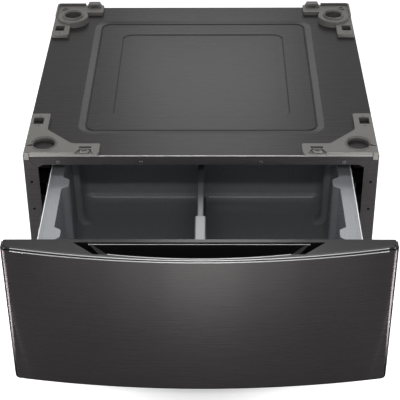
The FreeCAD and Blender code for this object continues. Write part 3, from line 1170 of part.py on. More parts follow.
def foot_nodes():
    nodes = {}
    for corner, place in foot_places().items():
        nodes["gusset_" + corner] = gusset(place)
        nodes["foot_stud_" + corner] = foot_stud(place)
        nodes["foot_pad_" + corner] = foot_pad(place)
    nodes["foot_lock_nuts"] = Part.makeCompound([foot_lock_nut(place) for place in foot_places().values()])
    return nodes


def slide_nodes():
    return pair({"slide_middle": slide_middle(), "slide_inner": slide_inner(),
                 "outer_cage": ball_cage(*outer_cage_place()), "inner_cage": ball_cage(*inner_cage_place()),
                 "outer_balls": Part.makeCompound(balls(*outer_cage_place())),
                 "inner_balls": Part.makeCompound(balls(*inner_cage_place()))})


def drawer_nodes():
    nodes = {"drawer_front_skin": drawer_front_skin(), "drawer_front_cap": drawer_front_cap(),
             "drawer_front_back": drawer_front_back(), "drawer_bin": drawer_bin(),
             "drawer_divider": drawer_divider(), "divider_post": divider_post(),
             "closing_bumpers": Part.makeCompound(closing_bumpers())}
    nodes.update(pair({"side_frame": side_frame()}))
    nodes["front_screws"] = short_screws(tab_screw_places(), Y_AXIS * -1)
    nodes["runner_screws"] = Part.makeCompound([screw(place, outward(place), SCREW_LENGTH)
                                                for place in runner_screw_places()])
    return nodes


def main():
    os.makedirs("parts", exist_ok=True)
    for nodes in (cabinet_nodes(), foot_nodes(), slide_nodes(), drawer_nodes()):
        for name, shape in nodes.items():
            shape.exportStep(os.path.join("parts", name + ".step"))


main()
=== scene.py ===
import json
import math

import bpy
from mathutils import Matrix, Vector


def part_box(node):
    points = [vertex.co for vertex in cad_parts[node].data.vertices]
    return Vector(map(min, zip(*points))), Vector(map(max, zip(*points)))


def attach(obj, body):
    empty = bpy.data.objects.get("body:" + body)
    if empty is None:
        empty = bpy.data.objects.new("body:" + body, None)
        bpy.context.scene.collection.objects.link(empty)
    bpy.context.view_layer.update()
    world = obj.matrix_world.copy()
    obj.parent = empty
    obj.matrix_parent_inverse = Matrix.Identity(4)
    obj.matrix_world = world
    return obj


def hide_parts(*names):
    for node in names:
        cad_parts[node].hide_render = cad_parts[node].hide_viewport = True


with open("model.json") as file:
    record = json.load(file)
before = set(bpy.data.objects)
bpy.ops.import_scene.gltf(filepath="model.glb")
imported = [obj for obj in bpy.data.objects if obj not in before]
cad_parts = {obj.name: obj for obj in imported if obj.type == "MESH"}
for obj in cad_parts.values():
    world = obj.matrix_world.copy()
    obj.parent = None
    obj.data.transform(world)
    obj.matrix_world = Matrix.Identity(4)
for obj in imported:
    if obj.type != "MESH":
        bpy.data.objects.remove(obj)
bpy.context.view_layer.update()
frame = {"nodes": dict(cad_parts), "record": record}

# Laundry pedestal: finishes for the sheet metal, the mouldings and the slides, small repeated details,
# bright edges, light and camera. Metres, X to the right, Y to the back, Z up.

MM = 0.001
nodes = frame["nodes"]

# Camera, fitted to the edges of the top, the cabinet and the drawer front
CAMERA_PLACE = Vector((0.0263, -2.16435, 1.6056))
CAMERA_PITCH = math.radians(34.34)
CAMERA_YAW = math.radians(-0.81)
CAMERA_ROLL = math.radians(0.45)
CAMERA_LENS = 111.555
SENSOR_WIDTH = 36.0

# Part of the noise's range over which the finishes change
NOISE_LOW = 0.3
NOISE_HIGH = 0.7

# Inside of the cabinet, in metres, and the near-black colour painted on its faces as shade
INSIDE_HALF = 0.3418
INSIDE_FRONT = -0.1552
INSIDE_TOP = 0.325
INSIDE_PAINTED_SHADE = (0.003, 0.003, 0.003, 1.0)

# Small repeated details, in metres
HEAD_APART = 8.0 * MM
# Painted shade of the cross recesses in screw heads: thin near-black crosses laid on the heads
RECESS_SHADE_SIZE = {"Length": 4.4 * MM, "Width": 1.0 * MM, "Depth": 0.16 * MM}
STUD_THREAD = {"Radius": 4.4 * MM, "Pitch": 1.5 * MM, "Ridge": 0.52 * MM}
THREAD_STEPS = 20
THREAD_SIDES = 4
STUD_SIDES = 32
PAD_RIB = {"Radius": 0.9 * MM, "Height": 3.2 * MM}
RIB_CIRCLE = 19.6 * MM
RIB_COUNT = 28
RIB_RISE = 0.4 * MM
RIB_SIDES = 8

# Bowed face of the drawer front, in millimetres
DRAWER_Y = -436.05
FRONT_LOW = 39.0
FRONT_HIGH = 342.4
BOW_HALF = 343.0
BOW_LOW = 52.0
BOW_HIGH = 62.0
BOW_END_LOW = 22.0
BOW_END_HIGH = 25.0

# Painted highlights: thin bright beads laid along edges in place of the light those edges catch, in millimetres: a
# bead's value is its radius, and its taper what it loses on the way to the ends
BEAD_SIDES = 10
FRONT_STEPS = range(-325, 326, 13)
HEM_Z = 338.2
HEM_IN = 0.7
HEM_BEAD = 0.42
HEM_TAPER = 0.48
HEM_THINNEST = 0.06
BROW_Z = 340.5
BROW_RISE = 1.1
BROW_IN = 2.95
BROW_TURN = 0.85
BROW_BEAD = 0.4
BROW_TAPER = 0.32
LIP_STEPS = range(-156, 157, 12)
LIP_HALF = 160
LIP_Y = DRAWER_Y - 56.3
LIP_BOW = 13.5
LIP_Z = 342.1
LIP_BEAD = 0.18
LEDGE_HALF = 191.0
LEDGE_Y = DRAWER_Y - 10.9
LEDGE_Z = 338.9
LEDGE_BEAD = 0.45
FOLD_HALF = 338.0
FOLD_Y = -156.1
FOLD_Z = 335.5
FOLD_BEAD = 0.9
BIN_FOOT_INNER = 14.0
BIN_FOOT_OUTER = 246.0
BIN_FOOT_Y = 59.7
BIN_FOOT_Z = 94.0
BIN_FOOT_INNER_BEAD = 1.2
BIN_FOOT_OUTER_BEAD = 0.9
RIM_Z = 292.5
RIM_EDGE = 0.8
RIM_END = 30.0
RIM_BEAD = 0.7

# Studio, in metres, watts and degrees
WHITE = (1.0, 1.0, 1.0, 1.0)
FLOOR_HALF = 7.0
FLOOR_PAINT = (0.8, 0.8, 0.8, 1.0)
# Painted shadow on the floor: inside an ellipse round the pedestal the floor's glow is nothing, rising to full
# between these reaches, in metres
PAINTED_SHADOW_SQUASH = (1.35, 1.0, 1.0)
PAINTED_SHADOW_NEAR = 0.37
PAINTED_SHADOW_FAR = 0.53
GLOW_IN_PAINTED_SHADOW = 0.0
GLOW_OUTSIDE_PAINTED_SHADOW = 0.82
ROOM_LIGHT = 0.26
LAMPS = {
    "rear_top_lamp": {"place": (0.0, 1.15, 2.1), "aim": (0.0, -0.4, 0.3), "size": (1.5, 0.6),
                      "power": 3.4, "spread": 70.0},
    "front_top_lamp": {"place": (0.0, -0.19, 2.33), "aim": (0.0, -0.3, 0.3), "size": (1.8, 0.3),
                       "power": 2.6, "spread": 80.0},
    "front_strip": {"place": (0.0, -2.05, 1.95), "aim": (0.0, -0.1, 0.2), "size": (1.0, 0.06),
                    "power": 9.0},
    "low_front_lamp": {"place": (0.1, -2.6, 0.62), "aim": (0.0, -0.3, 0.33), "size": (1.05, 0.5),
                       "power": 14.0, "shape": "ELLIPSE"},
    "back_card": {"place": (0.0, 2.4, 1.6), "aim": (0.0, 0.15, 0.34), "size": (0.7, 0.35),
                  "power": 4.0},
    "high_back_card": {"place": (0.05, 2.4, 2.42), "aim": (0.0, -0.44, 0.34), "size": (0.6, 0.4),
                       "power": 5.5},
    "narrow_floor_card": {"place": (0.01, -0.99, 0.012), "aim": (0.01, -0.99, 1.0), "size": (0.28, 0.4),
                          "power": 0.6, "shape": "ELLIPSE"},
    "middle_floor_card": {"place": (0.01, -0.99, 0.013), "aim": (0.01, -0.99, 1.0), "size": (0.62, 0.4),
                          "power": 1.3, "shape": "ELLIPSE"},
    "wide_floor_card": {"place": (0.01, -0.99, 0.014), "aim": (0.01, -0.99, 1.0), "size": (1.15, 0.4),
                        "power": 2.2, "shape": "ELLIPSE"},
}
# One on each side: these are the places on the right
SIDE_LAMPS = {
    "floor_card": {"place": (0.66, -0.51, 0.1), "aim": (0.21, -0.51, 1.0), "size": (0.13, 0.38),
                   "power": 5.0, "spread": 100.0},
    "stile_lamp": {"place": (1.3, -0.9, 0.2), "aim": (0.33, -0.15, 0.2), "size": (0.3, 0.3),
                   "power": 2.5, "spread": 50.0},
}


def maths(tree, operation, *values):
    """Math node on sockets and numbers, as its result."""
    node = tree.nodes.new("ShaderNodeMath")
    node.operation = operation
    for socket, value in zip(node.inputs, values):
        if isinstance(value, bpy.types.NodeSocket):
            tree.links.new(value, socket)
        else:
            socket.default_value = value
    return node.outputs["Value"]


# Finishes

def finish(name, shades, roughness, stretch, scale, bump=0.0, metal=0.0, detail=4.0, constant=None):
    """Procedural finish: one stretched noise moves the shade, the roughness and the fine relief."""
    material = bpy.data.materials.new(name)
    material.use_nodes = True
    tree = material.node_tree
    shader = tree.nodes["Principled BSDF"]
    shader.inputs["Metallic"].default_value = metal
    for socket, value in (constant or {}).items():
        shader.inputs[socket].default_value = value
    place = tree.nodes.new("ShaderNodeTexCoord")
    mapping = tree.nodes.new("ShaderNodeMapping")
    mapping.inputs["Scale"].default_value = stretch
    noise = tree.nodes.new("ShaderNodeTexNoise")
    noise.inputs["Scale"].default_value = scale
    noise.inputs["Detail"].default_value = detail
    tree.links.new(place.outputs["Object"], mapping.inputs["Vector"])
    tree.links.new(mapping.outputs["Vector"], noise.inputs["Vector"])

    ramp = tree.nodes.new("ShaderNodeValToRGB")
    for stop, position, shade in zip(ramp.color_ramp.elements, (NOISE_LOW, NOISE_HIGH), shades):
        stop.position = position
        stop.color = (*shade, 1.0)
    tree.links.new(noise.outputs["Fac"], ramp.inputs["Fac"])
    tree.links.new(ramp.outputs["Color"], shader.inputs["Base Color"])

    gloss = tree.nodes.new("ShaderNodeMapRange")
    gloss.inputs["From Min"].default_value = NOISE_LOW
    gloss.inputs["From Max"].default_value = NOISE_HIGH
    gloss.inputs["To Min"].default_value = roughness[0]
    gloss.inputs["To Max"].default_value = roughness[1]
    tree.links.new(noise.outputs["Fac"], gloss.inputs["Value"])
    tree.links.new(gloss.outputs["Result"], shader.inputs["Roughness"])

    if bump > 0:
        relief = tree.nodes.new("ShaderNodeBump")
        relief.inputs["Strength"].default_value = bump
        relief.inputs["Distance"].default_value = MM
        tree.links.new(noise.outputs["Fac"], relief.inputs["Height"])
        tree.links.new(relief.outputs["Normal"], shader.inputs["Normal"])
    return material


def paint_inside_shade(material):
    """Painted shade: near-black, matt base colour on the faces inside the cabinet, standing in for the shade in
    there.
    """
    tree = material.node_tree
    shader = tree.nodes["Principled BSDF"]
    paint = shader.inputs["Base Color"].links[0].from_socket
    gloss = shader.inputs["Roughness"].links[0].from_socket
    place = tree.nodes.new("ShaderNodeTexCoord")
    apart = tree.nodes.new("ShaderNodeSeparateXYZ")
    tree.links.new(place.outputs["Object"], apart.inputs["Vector"])
    between_sides = maths(tree, "LESS_THAN", maths(tree, "ABSOLUTE", apart.outputs["X"]), INSIDE_HALF)
    behind_front = maths(tree, "GREATER_THAN", apart.outputs["Y"], INSIDE_FRONT)
    below_top = maths(tree, "LESS_THAN", apart.outputs["Z"], INSIDE_TOP)
    inside = maths(tree, "MULTIPLY", maths(tree, "MULTIPLY", between_sides, behind_front), below_top)
    # Near-black painted shade mixed over the enamel inside the cabinet
    painted_shade_mix = tree.nodes.new("ShaderNodeMix")
    painted_shade_mix.data_type = "RGBA"
    painted_shade_mix.inputs["B"].default_value = INSIDE_PAINTED_SHADE
    tree.links.new(inside, painted_shade_mix.inputs["Factor"])
    tree.links.new(paint, painted_shade_mix.inputs["A"])
    tree.links.new(painted_shade_mix.outputs["Result"], shader.inputs["Base Color"])
    tree.links.new(maths(tree, "MAXIMUM", gloss, inside), shader.inputs["Roughness"])


# By material slot of the record
finishes = {
    "charcoal_sheet": finish(
        "charcoal_enamel", ((0.024, 0.0221, 0.0229), (0.0272, 0.0252, 0.026)), (0.26, 0.29),
        (0.4, 16, 16), 30.0, bump=0.02, detail=8.0, constant={"Specular IOR Level": 0.08}),
    "galvanised_sheet": finish(
        "galvanised_steel", ((0.36, 0.37, 0.38), (0.46, 0.47, 0.48)), (0.34, 0.5),
        (1, 1, 1), 60.0, bump=0.02, metal=1.0),
    "bracket_plastic": finish(
        "grey_moulded_plastic", ((0.108, 0.1046, 0.098), (0.143, 0.1385, 0.129)), (0.5, 0.65),
        (1, 1, 1), 1400.0, bump=0.25, constant={"Specular IOR Level": 0.3}),
    "slide_steel": finish(
        "black_slide_steel", ((0.005, 0.005, 0.005), (0.009, 0.009, 0.009)), (0.5, 0.62),
        (60, 1, 60), 20.0, bump=0.03, constant={"Specular IOR Level": 0.05}),
    "ball_steel": finish(
        "polished_ball_steel", ((0.66, 0.66, 0.67), (0.7, 0.7, 0.71)), (0.06, 0.1),
        (1, 1, 1), 300.0, metal=1.0),
    "fastener_steel": finish(
        "plated_fastener_steel", ((0.1, 0.1, 0.1), (0.15, 0.15, 0.148)), (0.3, 0.45),
        (1, 1, 1), 700.0, metal=1.0),
    "foot_rubber": finish(
        "foot_rubber", ((0.014, 0.014, 0.014), (0.022, 0.022, 0.022)), (0.7, 0.85),
        (1, 1, 1), 900.0, bump=0.2),
    "front_steel": finish(
        "dark_brushed_steel", ((0.0265, 0.0248, 0.0252), (0.0297, 0.0278, 0.0283)), (0.26, 0.29),
        (0.4, 0.4, 16), 30.0, bump=0.01, metal=1.0, detail=8.0,
        constant={"Anisotropic": 0.85, "Anisotropic Rotation": 0.25, "Specular Tint": (0.12, 0.12, 0.12, 1.0)}),
    "cap_plastic": finish(
        "dark_cap_moulding", ((0.0105, 0.01, 0.0101), (0.0135, 0.0128, 0.013)), (0.17, 0.22),
        (1, 1, 1), 1200.0, bump=0.04, constant={"Specular IOR Level": 0.15}),
    "bin_plastic": finish(
        "grey_bin_plastic", ((0.25, 0.263, 0.281), (0.281, 0.294, 0.312)), (0.24, 0.3),
        (1, 1, 1), 800.0, bump=0.03),
    # Divider panel: a darker grey than the divider's post; part of that is the panel's own grey, part is painted
    # shade for the divider's shaded rear
    "divider_plastic": finish(
        "divider_plastic_with_painted_shade", ((0.09, 0.094, 0.1), (0.11, 0.114, 0.12)), (0.32, 0.42),
        (1, 1, 1), 800.0, bump=0.05),
}
# Painted shade inside the cabinet: its inner faces turn near-black and matt
paint_inside_shade(finishes["charcoal_sheet"])
# Painted highlight: bright metal for the beads that stand in for the light caught by the drawer's and the top's
# edges
painted_highlight_metal = finish(
    "painted_highlight_metal", ((0.26, 0.26, 0.26), (0.32, 0.32, 0.32)), (0.3, 0.4), (1, 1, 1), 500.0, metal=1.0)
post_plastic = finish(
    "grey_post_plastic", ((0.178, 0.187, 0.2), (0.2, 0.21, 0.223)), (0.3, 0.36), (1, 1, 1), 800.0)
# Painted highlight: pale colour for the beads that stand in for the light caught by the bin's foot and rim
painted_highlight_pale = finish(
    "painted_highlight_pale", ((0.78, 0.79, 0.8), (0.86, 0.87, 0.88)), (0.3, 0.4), (1, 1, 1), 500.0)

for subpart in frame["record"]["subparts"]:
    mesh = nodes[subpart["node"]].data
    mesh.materials.clear()
    # The divider's post takes the lighter grey; the panel keeps the darker grey that carries painted shade
    mesh.materials.append(post_plastic if subpart["node"] == "divider_post" else finishes[subpart["material_slot"]])


# Small repeated details

def new_tree(name, inputs):
    """Empty geometry tree with its named inputs, an input node and an output node."""
    tree = bpy.data.node_groups.new(name, "GeometryNodeTree")
    tree.interface.new_socket("Geometry", in_out="INPUT", socket_type="NodeSocketGeometry")
    for label, kind in inputs.items():
        tree.interface.new_socket(label, in_out="INPUT", socket_type=kind)
    tree.interface.new_socket("Geometry", in_out="OUTPUT", socket_type="NodeSocketGeometry")
    return tree, tree.nodes.new("NodeGroupInput"), tree.nodes.new("NodeGroupOutput")


def close_tree(tree, given, result, geometry):
    """Real geometry, in the material that was given."""
    real = tree.nodes.new("GeometryNodeRealizeInstances")
    paint = tree.nodes.new("GeometryNodeSetMaterial")
    tree.links.new(geometry, real.inputs["Geometry"])
    tree.links.new(real.outputs["Geometry"], paint.inputs["Geometry"])
    tree.links.new(given.outputs["Material"], paint.inputs["Material"])
    tree.links.new(paint.outputs["Geometry"], result.inputs["Geometry"])
    return tree


def bead_tree():
    """Round bead along every edge of a line; each point brings its own thickness."""
    tree, given, result = new_tree(
        "bead_along_line", {"Radius": "NodeSocketFloat", "Material": "NodeSocketMaterial"})
    line = tree.nodes.new("GeometryNodeMeshToCurve")
    ring = tree.nodes.new("GeometryNodeCurvePrimitiveCircle")
    ring.inputs["Resolution"].default_value = BEAD_SIDES
    sweep = tree.nodes.new("GeometryNodeCurveToMesh")
    sweep.inputs["Fill Caps"].default_value = True
    tree.links.new(given.outputs["Geometry"], line.inputs["Mesh"])
    tree.links.new(given.outputs["Radius"], ring.inputs["Radius"])
    tree.links.new(line.outputs["Curve"], sweep.inputs["Curve"])
    tree.links.new(ring.outputs["Curve"], sweep.inputs["Profile Curve"])
    return close_tree(tree, given, result, sweep.outputs["Mesh"])


def repeat_tree(name, lengths, build):
    """The same small shape on every point of a mesh, turned to face one way."""
    inputs = dict.fromkeys(lengths, "NodeSocketFloat")
    inputs.update({"Facing": "NodeSocketVector", "Material": "NodeSocketMaterial"})
    tree, given, result = new_tree(name, inputs)
    turn = tree.nodes.new("FunctionNodeAlignRotationToVector")
    turn.axis = "Z"
    repeat = tree.nodes.new("GeometryNodeInstanceOnPoints")
    tree.links.new(given.outputs["Facing"], turn.inputs["Vector"])
    tree.links.new(given.outputs["Geometry"], repeat.inputs["Points"])
    tree.links.new(build(tree, given), repeat.inputs["Instance"])
    tree.links.new(turn.outputs["Rotation"], repeat.inputs["Rotation"])
    return close_tree(tree, given, result, repeat.outputs["Instances"])


def cross_shape(tree, given):
    """Two crossed bars."""
    cross = tree.nodes.new("GeometryNodeJoinGeometry")
    for first, second in (("Length", "Width"), ("Width", "Length")):
        size = tree.nodes.new("ShaderNodeCombineXYZ")
        bar = tree.nodes.new("GeometryNodeMeshCube")
        tree.links.new(given.outputs[first], size.inputs["X"])
        tree.links.new(given.outputs[second], size.inputs["Y"])
        tree.links.new(given.outputs["Depth"], size.inputs["Z"])
        tree.links.new(size.outputs["Vector"], bar.inputs["Size"])
        tree.links.new(bar.outputs["Mesh"], cross.inputs["Geometry"])
    return cross.outputs["Geometry"]


def upright_rod(tree, radius, height, sides):
    """Round rod that stands on its origin."""
    rod = tree.nodes.new("GeometryNodeMeshCylinder")
    rod.inputs["Vertices"].default_value = sides
    lift = tree.nodes.new("ShaderNodeCombineXYZ")
    place = tree.nodes.new("GeometryNodeTransform")
    tree.links.new(radius, rod.inputs["Radius"])
    tree.links.new(height, rod.inputs["Depth"])
    tree.links.new(maths(tree, "MULTIPLY", height, 0.5), lift.inputs["Z"])
    tree.links.new(rod.outputs["Mesh"], place.inputs["Geometry"])
    tree.links.new(lift.outputs["Vector"], place.inputs["Translation"])
    return place.outputs["Geometry"]


def rib_shape(tree, given):
    """Upright rib."""
    return upright_rod(tree, given.outputs["Radius"], given.outputs["Height"], RIB_SIDES)


def thread_shape(tree, given):
    """Rod with a thread wound round it."""
    wind = tree.nodes.new("GeometryNodeCurveSpiral")
    wind.inputs["Resolution"].default_value = THREAD_STEPS
    ring = tree.nodes.new("GeometryNodeCurvePrimitiveCircle")
    ring.inputs["Resolution"].default_value = THREAD_SIDES
    sweep = tree.nodes.new("GeometryNodeCurveToMesh")
    both = tree.nodes.new("GeometryNodeJoinGeometry")
    turns = maths(tree, "DIVIDE", given.outputs["Height"], given.outputs["Pitch"])
    tree.links.new(turns, wind.inputs["Rotations"])
    tree.links.new(given.outputs["Height"], wind.inputs["Height"])
    for end in ("Start Radius", "End Radius"):
        tree.links.new(given.outputs["Radius"], wind.inputs[end])
    tree.links.new(given.outputs["Ridge"], ring.inputs["Radius"])
    tree.links.new(wind.outputs["Curve"], sweep.inputs["Curve"])
    tree.links.new(ring.outputs["Curve"], sweep.inputs["Profile Curve"])
    rod = upright_rod(tree, given.outputs["Radius"], given.outputs["Height"], STUD_SIDES)
    for shape in (rod, sweep.outputs["Mesh"]):
        tree.links.new(shape, both.inputs["Geometry"])
    return both.outputs["Geometry"]


def grown(name, mesh, tree, values, body):
    """Plain piece grown from a mesh by a geometry tree, carried by one body."""
    seed = bpy.data.objects.new(name, mesh)
    bpy.context.scene.collection.objects.link(seed)
    maker = seed.modifiers.new(name, "NODES")
    maker.node_group = tree
    for item in tree.interface.items_tree:
        if item.in_out == "INPUT" and item.name in values:
            maker[item.identifier] = values[item.name]
    shape = bpy.data.meshes.new_from_object(seed.evaluated_get(bpy.context.evaluated_depsgraph_get()))
    seed.modifiers.remove(maker)
    seed.data = shape
    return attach(seed, body)


def on_points(name, points, tree, values, material, body, facing=(0.0, 0.0, 1.0)):
    """A small shape repeated on points, as one piece."""
    mesh = bpy.data.meshes.new(name)
    mesh.from_pydata(points, [], [])
    return grown(name, mesh, tree, {**values, "Facing": facing, "Material": material}, body)


def head_centres(node, axis, sign):
    """Middle of the outer face of every screw head in a group of screws."""
    heads = []
    for vertex in nodes[node].data.vertices:
        flat = [vertex.co[index] for index in range(3) if index != axis]
        home = next((head for head in heads if math.dist(flat, head[0]) < HEAD_APART), None)
        if home is None:
            home = (flat, [])
            heads.append(home)
        home[1].append(vertex.co)
    centres = []
    for _, points in heads:
        low = [min(point[index] for point in points) for index in range(3)]
        high = [max(point[index] for point in points) for index in range(3)]
        middle = [(below + above) / 2 for below, above in zip(low, high)]
        middle[axis] = high[axis] if sign > 0 else low[axis]
        centres.append(middle)
    return centres


RECESS_SHADE_CROSS = repeat_tree("painted_recess_shade", ("Length", "Width", "Depth"), cross_shape)
RIB = repeat_tree("grip_rib", ("Radius", "Height"), rib_shape)
THREAD = repeat_tree("threaded_rod", ("Radius", "Height", "Pitch", "Ridge"), thread_shape)

# Thin near-black crosses on the screw heads, in the black slide finish: painted shade of the cross recesses
for node, axis, sign in (("rail_screws", 1, -1), ("back_screws", 1, 1), ("bracket_screws", 2, 1)):
    facing = tuple(sign if index == axis else 0 for index in range(3))
    on_points(node + "_recess_shade", head_centres(node, axis, sign), RECESS_SHADE_CROSS, RECESS_SHADE_SIZE, finishes["slide_steel"],
              "cabinet", facing)

for corner in ("front_left", "front_right", "rear_left", "rear_right"):
    node = "foot_stud_" + corner
    low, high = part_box(node)
    base = ((low.x + high.x) / 2, (low.y + high.y) / 2, low.z)
    stud = on_points("threaded_" + node, [base], THREAD, {**STUD_THREAD, "Height": high.z - low.z},
                     finishes["fastener_steel"], node)
    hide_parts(node)
    angles = [math.tau * step / RIB_COUNT for step in range(RIB_COUNT)]
    ring = [(base[0] + RIB_CIRCLE * math.cos(angle), base[1] + RIB_CIRCLE * math.sin(angle), RIB_RISE)
            for angle in angles]
    on_points("grip_ribs_" + corner, ring, RIB, PAD_RIB, finishes["foot_rubber"],
              "foot_pad_" + corner)


# Painted highlights: bright beads along edges

def bead(name, lines, material, body):
    """Bright bead, a painted highlight, along lines of (x, y, z, radius) points in millimetres."""
    points = [point for line in lines for point in line]
    edges = []
    start = 0
    for line in lines:
        edges += [(start + index, start + index + 1) for index in range(len(line) - 1)]
        start += len(line)
    mesh = bpy.data.meshes.new(name)
    mesh.from_pydata([[value * MM for value in point[:3]] for point in points], edges, [])
    width = mesh.attributes.new("radius", "FLOAT", "POINT")
    width.data.foreach_set("value", [point[3] for point in points])
    return grown(name, mesh, BEAD, {"Radius": MM, "Material": material}, body)


def bow(x, z, inward):
    """Y of the bowed face of the drawer front, or of a line that far inward of it, in millimetres."""
    share = (z - FRONT_LOW) / (FRONT_HIGH - FRONT_LOW)
    middle = BOW_LOW + (BOW_HIGH - BOW_LOW) * share
    sag = middle - (BOW_END_LOW + (BOW_END_HIGH - BOW_END_LOW) * share)
    radius = (BOW_HALF ** 2 + sag ** 2) / (2 * sag)
    return DRAWER_Y - middle + inward + radius - math.sqrt(radius ** 2 - x ** 2)


def across(half, y, z, radius):
    """Straight line from the left to the right."""
    return [(-half, y, z, radius), (half, y, z, radius)]


BEAD = bead_tree()

# Painted highlight along the hem of the drawer front
hem_line = [(x, bow(x, HEM_Z, HEM_IN), HEM_Z, max(HEM_THINNEST, HEM_BEAD - HEM_TAPER * abs(x) / BOW_HALF))
            for x in FRONT_STEPS]
bead("hem_painted_highlight", [hem_line], painted_highlight_metal, "drawer")

# Painted highlights along the cap's front edge, the pocket's lip and its ledge
brow_line = []
for x in FRONT_STEPS:
    share = abs(x) / BOW_HALF
    rise = BROW_Z + BROW_RISE * share
    brow_line.append((x, bow(x, rise, BROW_IN + BROW_TURN * share), rise, BROW_BEAD - BROW_TAPER * share))
lip_line = [(x, LIP_Y + LIP_BOW * (x / LIP_HALF) ** 2, LIP_Z, LIP_BEAD) for x in LIP_STEPS]
ledge_line = across(LEDGE_HALF, LEDGE_Y, LEDGE_Z, LEDGE_BEAD)
bead("cap_painted_highlights", [brow_line, lip_line, ledge_line], painted_highlight_metal, "drawer")

# Painted highlight along the top's folded front edge
fold_line = across(FOLD_HALF, FOLD_Y, FOLD_Z, FOLD_BEAD)
bead("fold_painted_highlight", [fold_line], painted_highlight_metal, "cabinet")

# Painted highlight along the foot of the bin's back wall
foot_lines = [[(side * BIN_FOOT_INNER, BIN_FOOT_Y, BIN_FOOT_Z, BIN_FOOT_INNER_BEAD),
               (side * BIN_FOOT_OUTER, BIN_FOOT_Y, BIN_FOOT_Z, BIN_FOOT_OUTER_BEAD)] for side in (-1, 1)]
bead("bin_foot_painted_highlight", foot_lines, painted_highlight_pale, "drawer")

# Painted highlights along the outer edges of the bin's rim
bin_low, bin_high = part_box("drawer_bin")
rim_lines = [[(edge / MM, bin_low.y / MM + RIM_END, RIM_Z, RIM_BEAD),
              (edge / MM, bin_high.y / MM - RIM_END, RIM_Z, RIM_BEAD)]
             for edge in (bin_low.x + RIM_EDGE * MM, bin_high.x - RIM_EDGE * MM)]
bead("bin_rim_painted_highlights", rim_lines, painted_highlight_pale, "drawer")


# Studio

def lit_only_for_view(tree):
    """One where the camera, a reflection or a view through glass looks at the surface, else zero."""
    path = tree.nodes.new("ShaderNodeLightPath")
    seen = maths(tree, "MAXIMUM", path.outputs["Is Camera Ray"], path.outputs["Is Glossy Ray"])
    return maths(tree, "MAXIMUM", seen, path.outputs["Is Transmission Ray"])


def studio_floor():
    """Pale floor: white to the camera where it is lit and away from the pedestal; round the pedestal its glow fades
    out in an ellipse, a painted shadow on top of the real one.
    """
    material = bpy.data.materials.new("pale_studio_floor")
    material.use_nodes = True
    tree = material.node_tree
    shader = tree.nodes["Principled BSDF"]
    shader.inputs["Base Color"].default_value = FLOOR_PAINT
    shader.inputs["Roughness"].default_value = 1.0
    shader.inputs["Specular IOR Level"].default_value = 0.0
    shader.inputs["Emission Color"].default_value = WHITE
    # Painted shadow: glow that rises with the squashed distance from the middle of the pedestal
    place = tree.nodes.new("ShaderNodeTexCoord")
    squash = tree.nodes.new("ShaderNodeMapping")
    squash.inputs["Scale"].default_value = PAINTED_SHADOW_SQUASH
    reach = tree.nodes.new("ShaderNodeVectorMath")
    reach.operation = "LENGTH"
    painted_shadow_ramp = tree.nodes.new("ShaderNodeMapRange")
    painted_shadow_ramp.interpolation_type = "SMOOTHSTEP"
    painted_shadow_ramp.inputs["From Min"].default_value = PAINTED_SHADOW_NEAR
    painted_shadow_ramp.inputs["From Max"].default_value = PAINTED_SHADOW_FAR
    painted_shadow_ramp.inputs["To Min"].default_value = GLOW_IN_PAINTED_SHADOW
    painted_shadow_ramp.inputs["To Max"].default_value = GLOW_OUTSIDE_PAINTED_SHADOW
    tree.links.new(place.outputs["Object"], squash.inputs["Vector"])
    tree.links.new(squash.outputs["Vector"], reach.inputs[0])
    tree.links.new(reach.outputs["Value"], painted_shadow_ramp.inputs["Value"])
    glow = maths(tree, "MULTIPLY", lit_only_for_view(tree), painted_shadow_ramp.outputs["Result"])
    tree.links.new(glow, shader.inputs["Emission Strength"])
    mesh = bpy.data.meshes.new("studio_floor")
    corners = [(-FLOOR_HALF, -FLOOR_HALF, 0.0), (FLOOR_HALF, -FLOOR_HALF, 0.0),
               (FLOOR_HALF, FLOOR_HALF, 0.0), (-FLOOR_HALF, FLOOR_HALF, 0.0)]
    mesh.from_pydata(corners, [], [(0, 1, 2, 3)])
    mesh.materials.append(material)
    floor = bpy.data.objects.new("studio_floor", mesh)
    bpy.context.scene.collection.objects.link(floor)


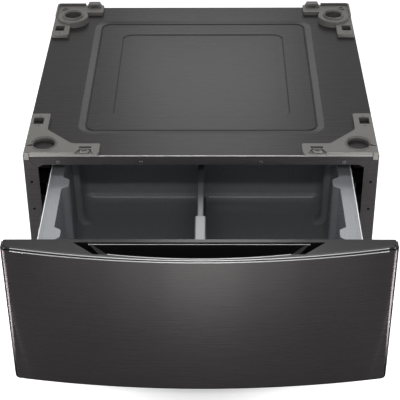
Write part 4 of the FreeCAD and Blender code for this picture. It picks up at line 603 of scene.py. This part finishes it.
def studio_room():
    """White surroundings for the view, and a lower, even light on the pedestal."""
    world = bpy.data.worlds.new("studio_room")
    bpy.context.scene.world = world
    world.use_nodes = True
    tree = world.node_tree
    background = tree.nodes["Background"]
    background.inputs["Color"].default_value = WHITE
    strength = tree.nodes.new("ShaderNodeMapRange")
    strength.inputs["To Min"].default_value = ROOM_LIGHT
    strength.inputs["To Max"].default_value = 1.0
    tree.links.new(lit_only_for_view(tree), strength.inputs["Value"])
    tree.links.new(strength.outputs["Result"], background.inputs["Strength"])


def soft_lamp(name, place, aim, size, power, spread=180.0, shape="RECTANGLE", side=1):
    """Area lamp that the camera doesn't see; with side -1 it stands mirrored, on the left."""
    lamp = bpy.data.lights.new(name, "AREA")
    lamp.shape = shape
    lamp.size, lamp.size_y = size
    lamp.energy = power
    lamp.spread = math.radians(spread)
    holder = bpy.data.objects.new(name, lamp)
    start, end = (Vector((side * x, y, z)) for x, y, z in (place, aim))
    turn = (end - start).to_track_quat("-Z", "Y").to_matrix().to_4x4()
    holder.matrix_world = Matrix.Translation(start) @ turn
    holder.visible_camera = False
    bpy.context.scene.collection.objects.link(holder)


def studio_camera():
    """Camera at the photograph's viewing angle."""
    camera = bpy.data.cameras.new("front_camera")
    camera.lens = CAMERA_LENS
    camera.sensor_width = SENSOR_WIDTH
    forward = Vector((math.sin(CAMERA_YAW) * math.cos(CAMERA_PITCH),
                      math.cos(CAMERA_YAW) * math.cos(CAMERA_PITCH), -math.sin(CAMERA_PITCH)))
    level = Vector((math.cos(CAMERA_YAW), -math.sin(CAMERA_YAW), 0.0))
    down = forward.cross(level)
    right = level * math.cos(CAMERA_ROLL) + down * math.sin(CAMERA_ROLL)
    lower = down * math.cos(CAMERA_ROLL) - level * math.sin(CAMERA_ROLL)
    turn = Matrix((right, -lower, -forward)).transposed().to_4x4()
    holder = bpy.data.objects.new("front_camera", camera)
    holder.matrix_world = Matrix.Translation(CAMERA_PLACE) @ turn
    bpy.context.scene.collection.objects.link(holder)
    bpy.context.scene.camera = holder


studio_floor()
studio_room()
for name, lamp in LAMPS.items():
    soft_lamp(name, **lamp)
for name, lamp in SIDE_LAMPS.items():
    soft_lamp("left_" + name, side=-1, **lamp)
    soft_lamp("right_" + name, **lamp)
studio_camera()
bpy.context.scene.view_settings.view_transform = "Standard"
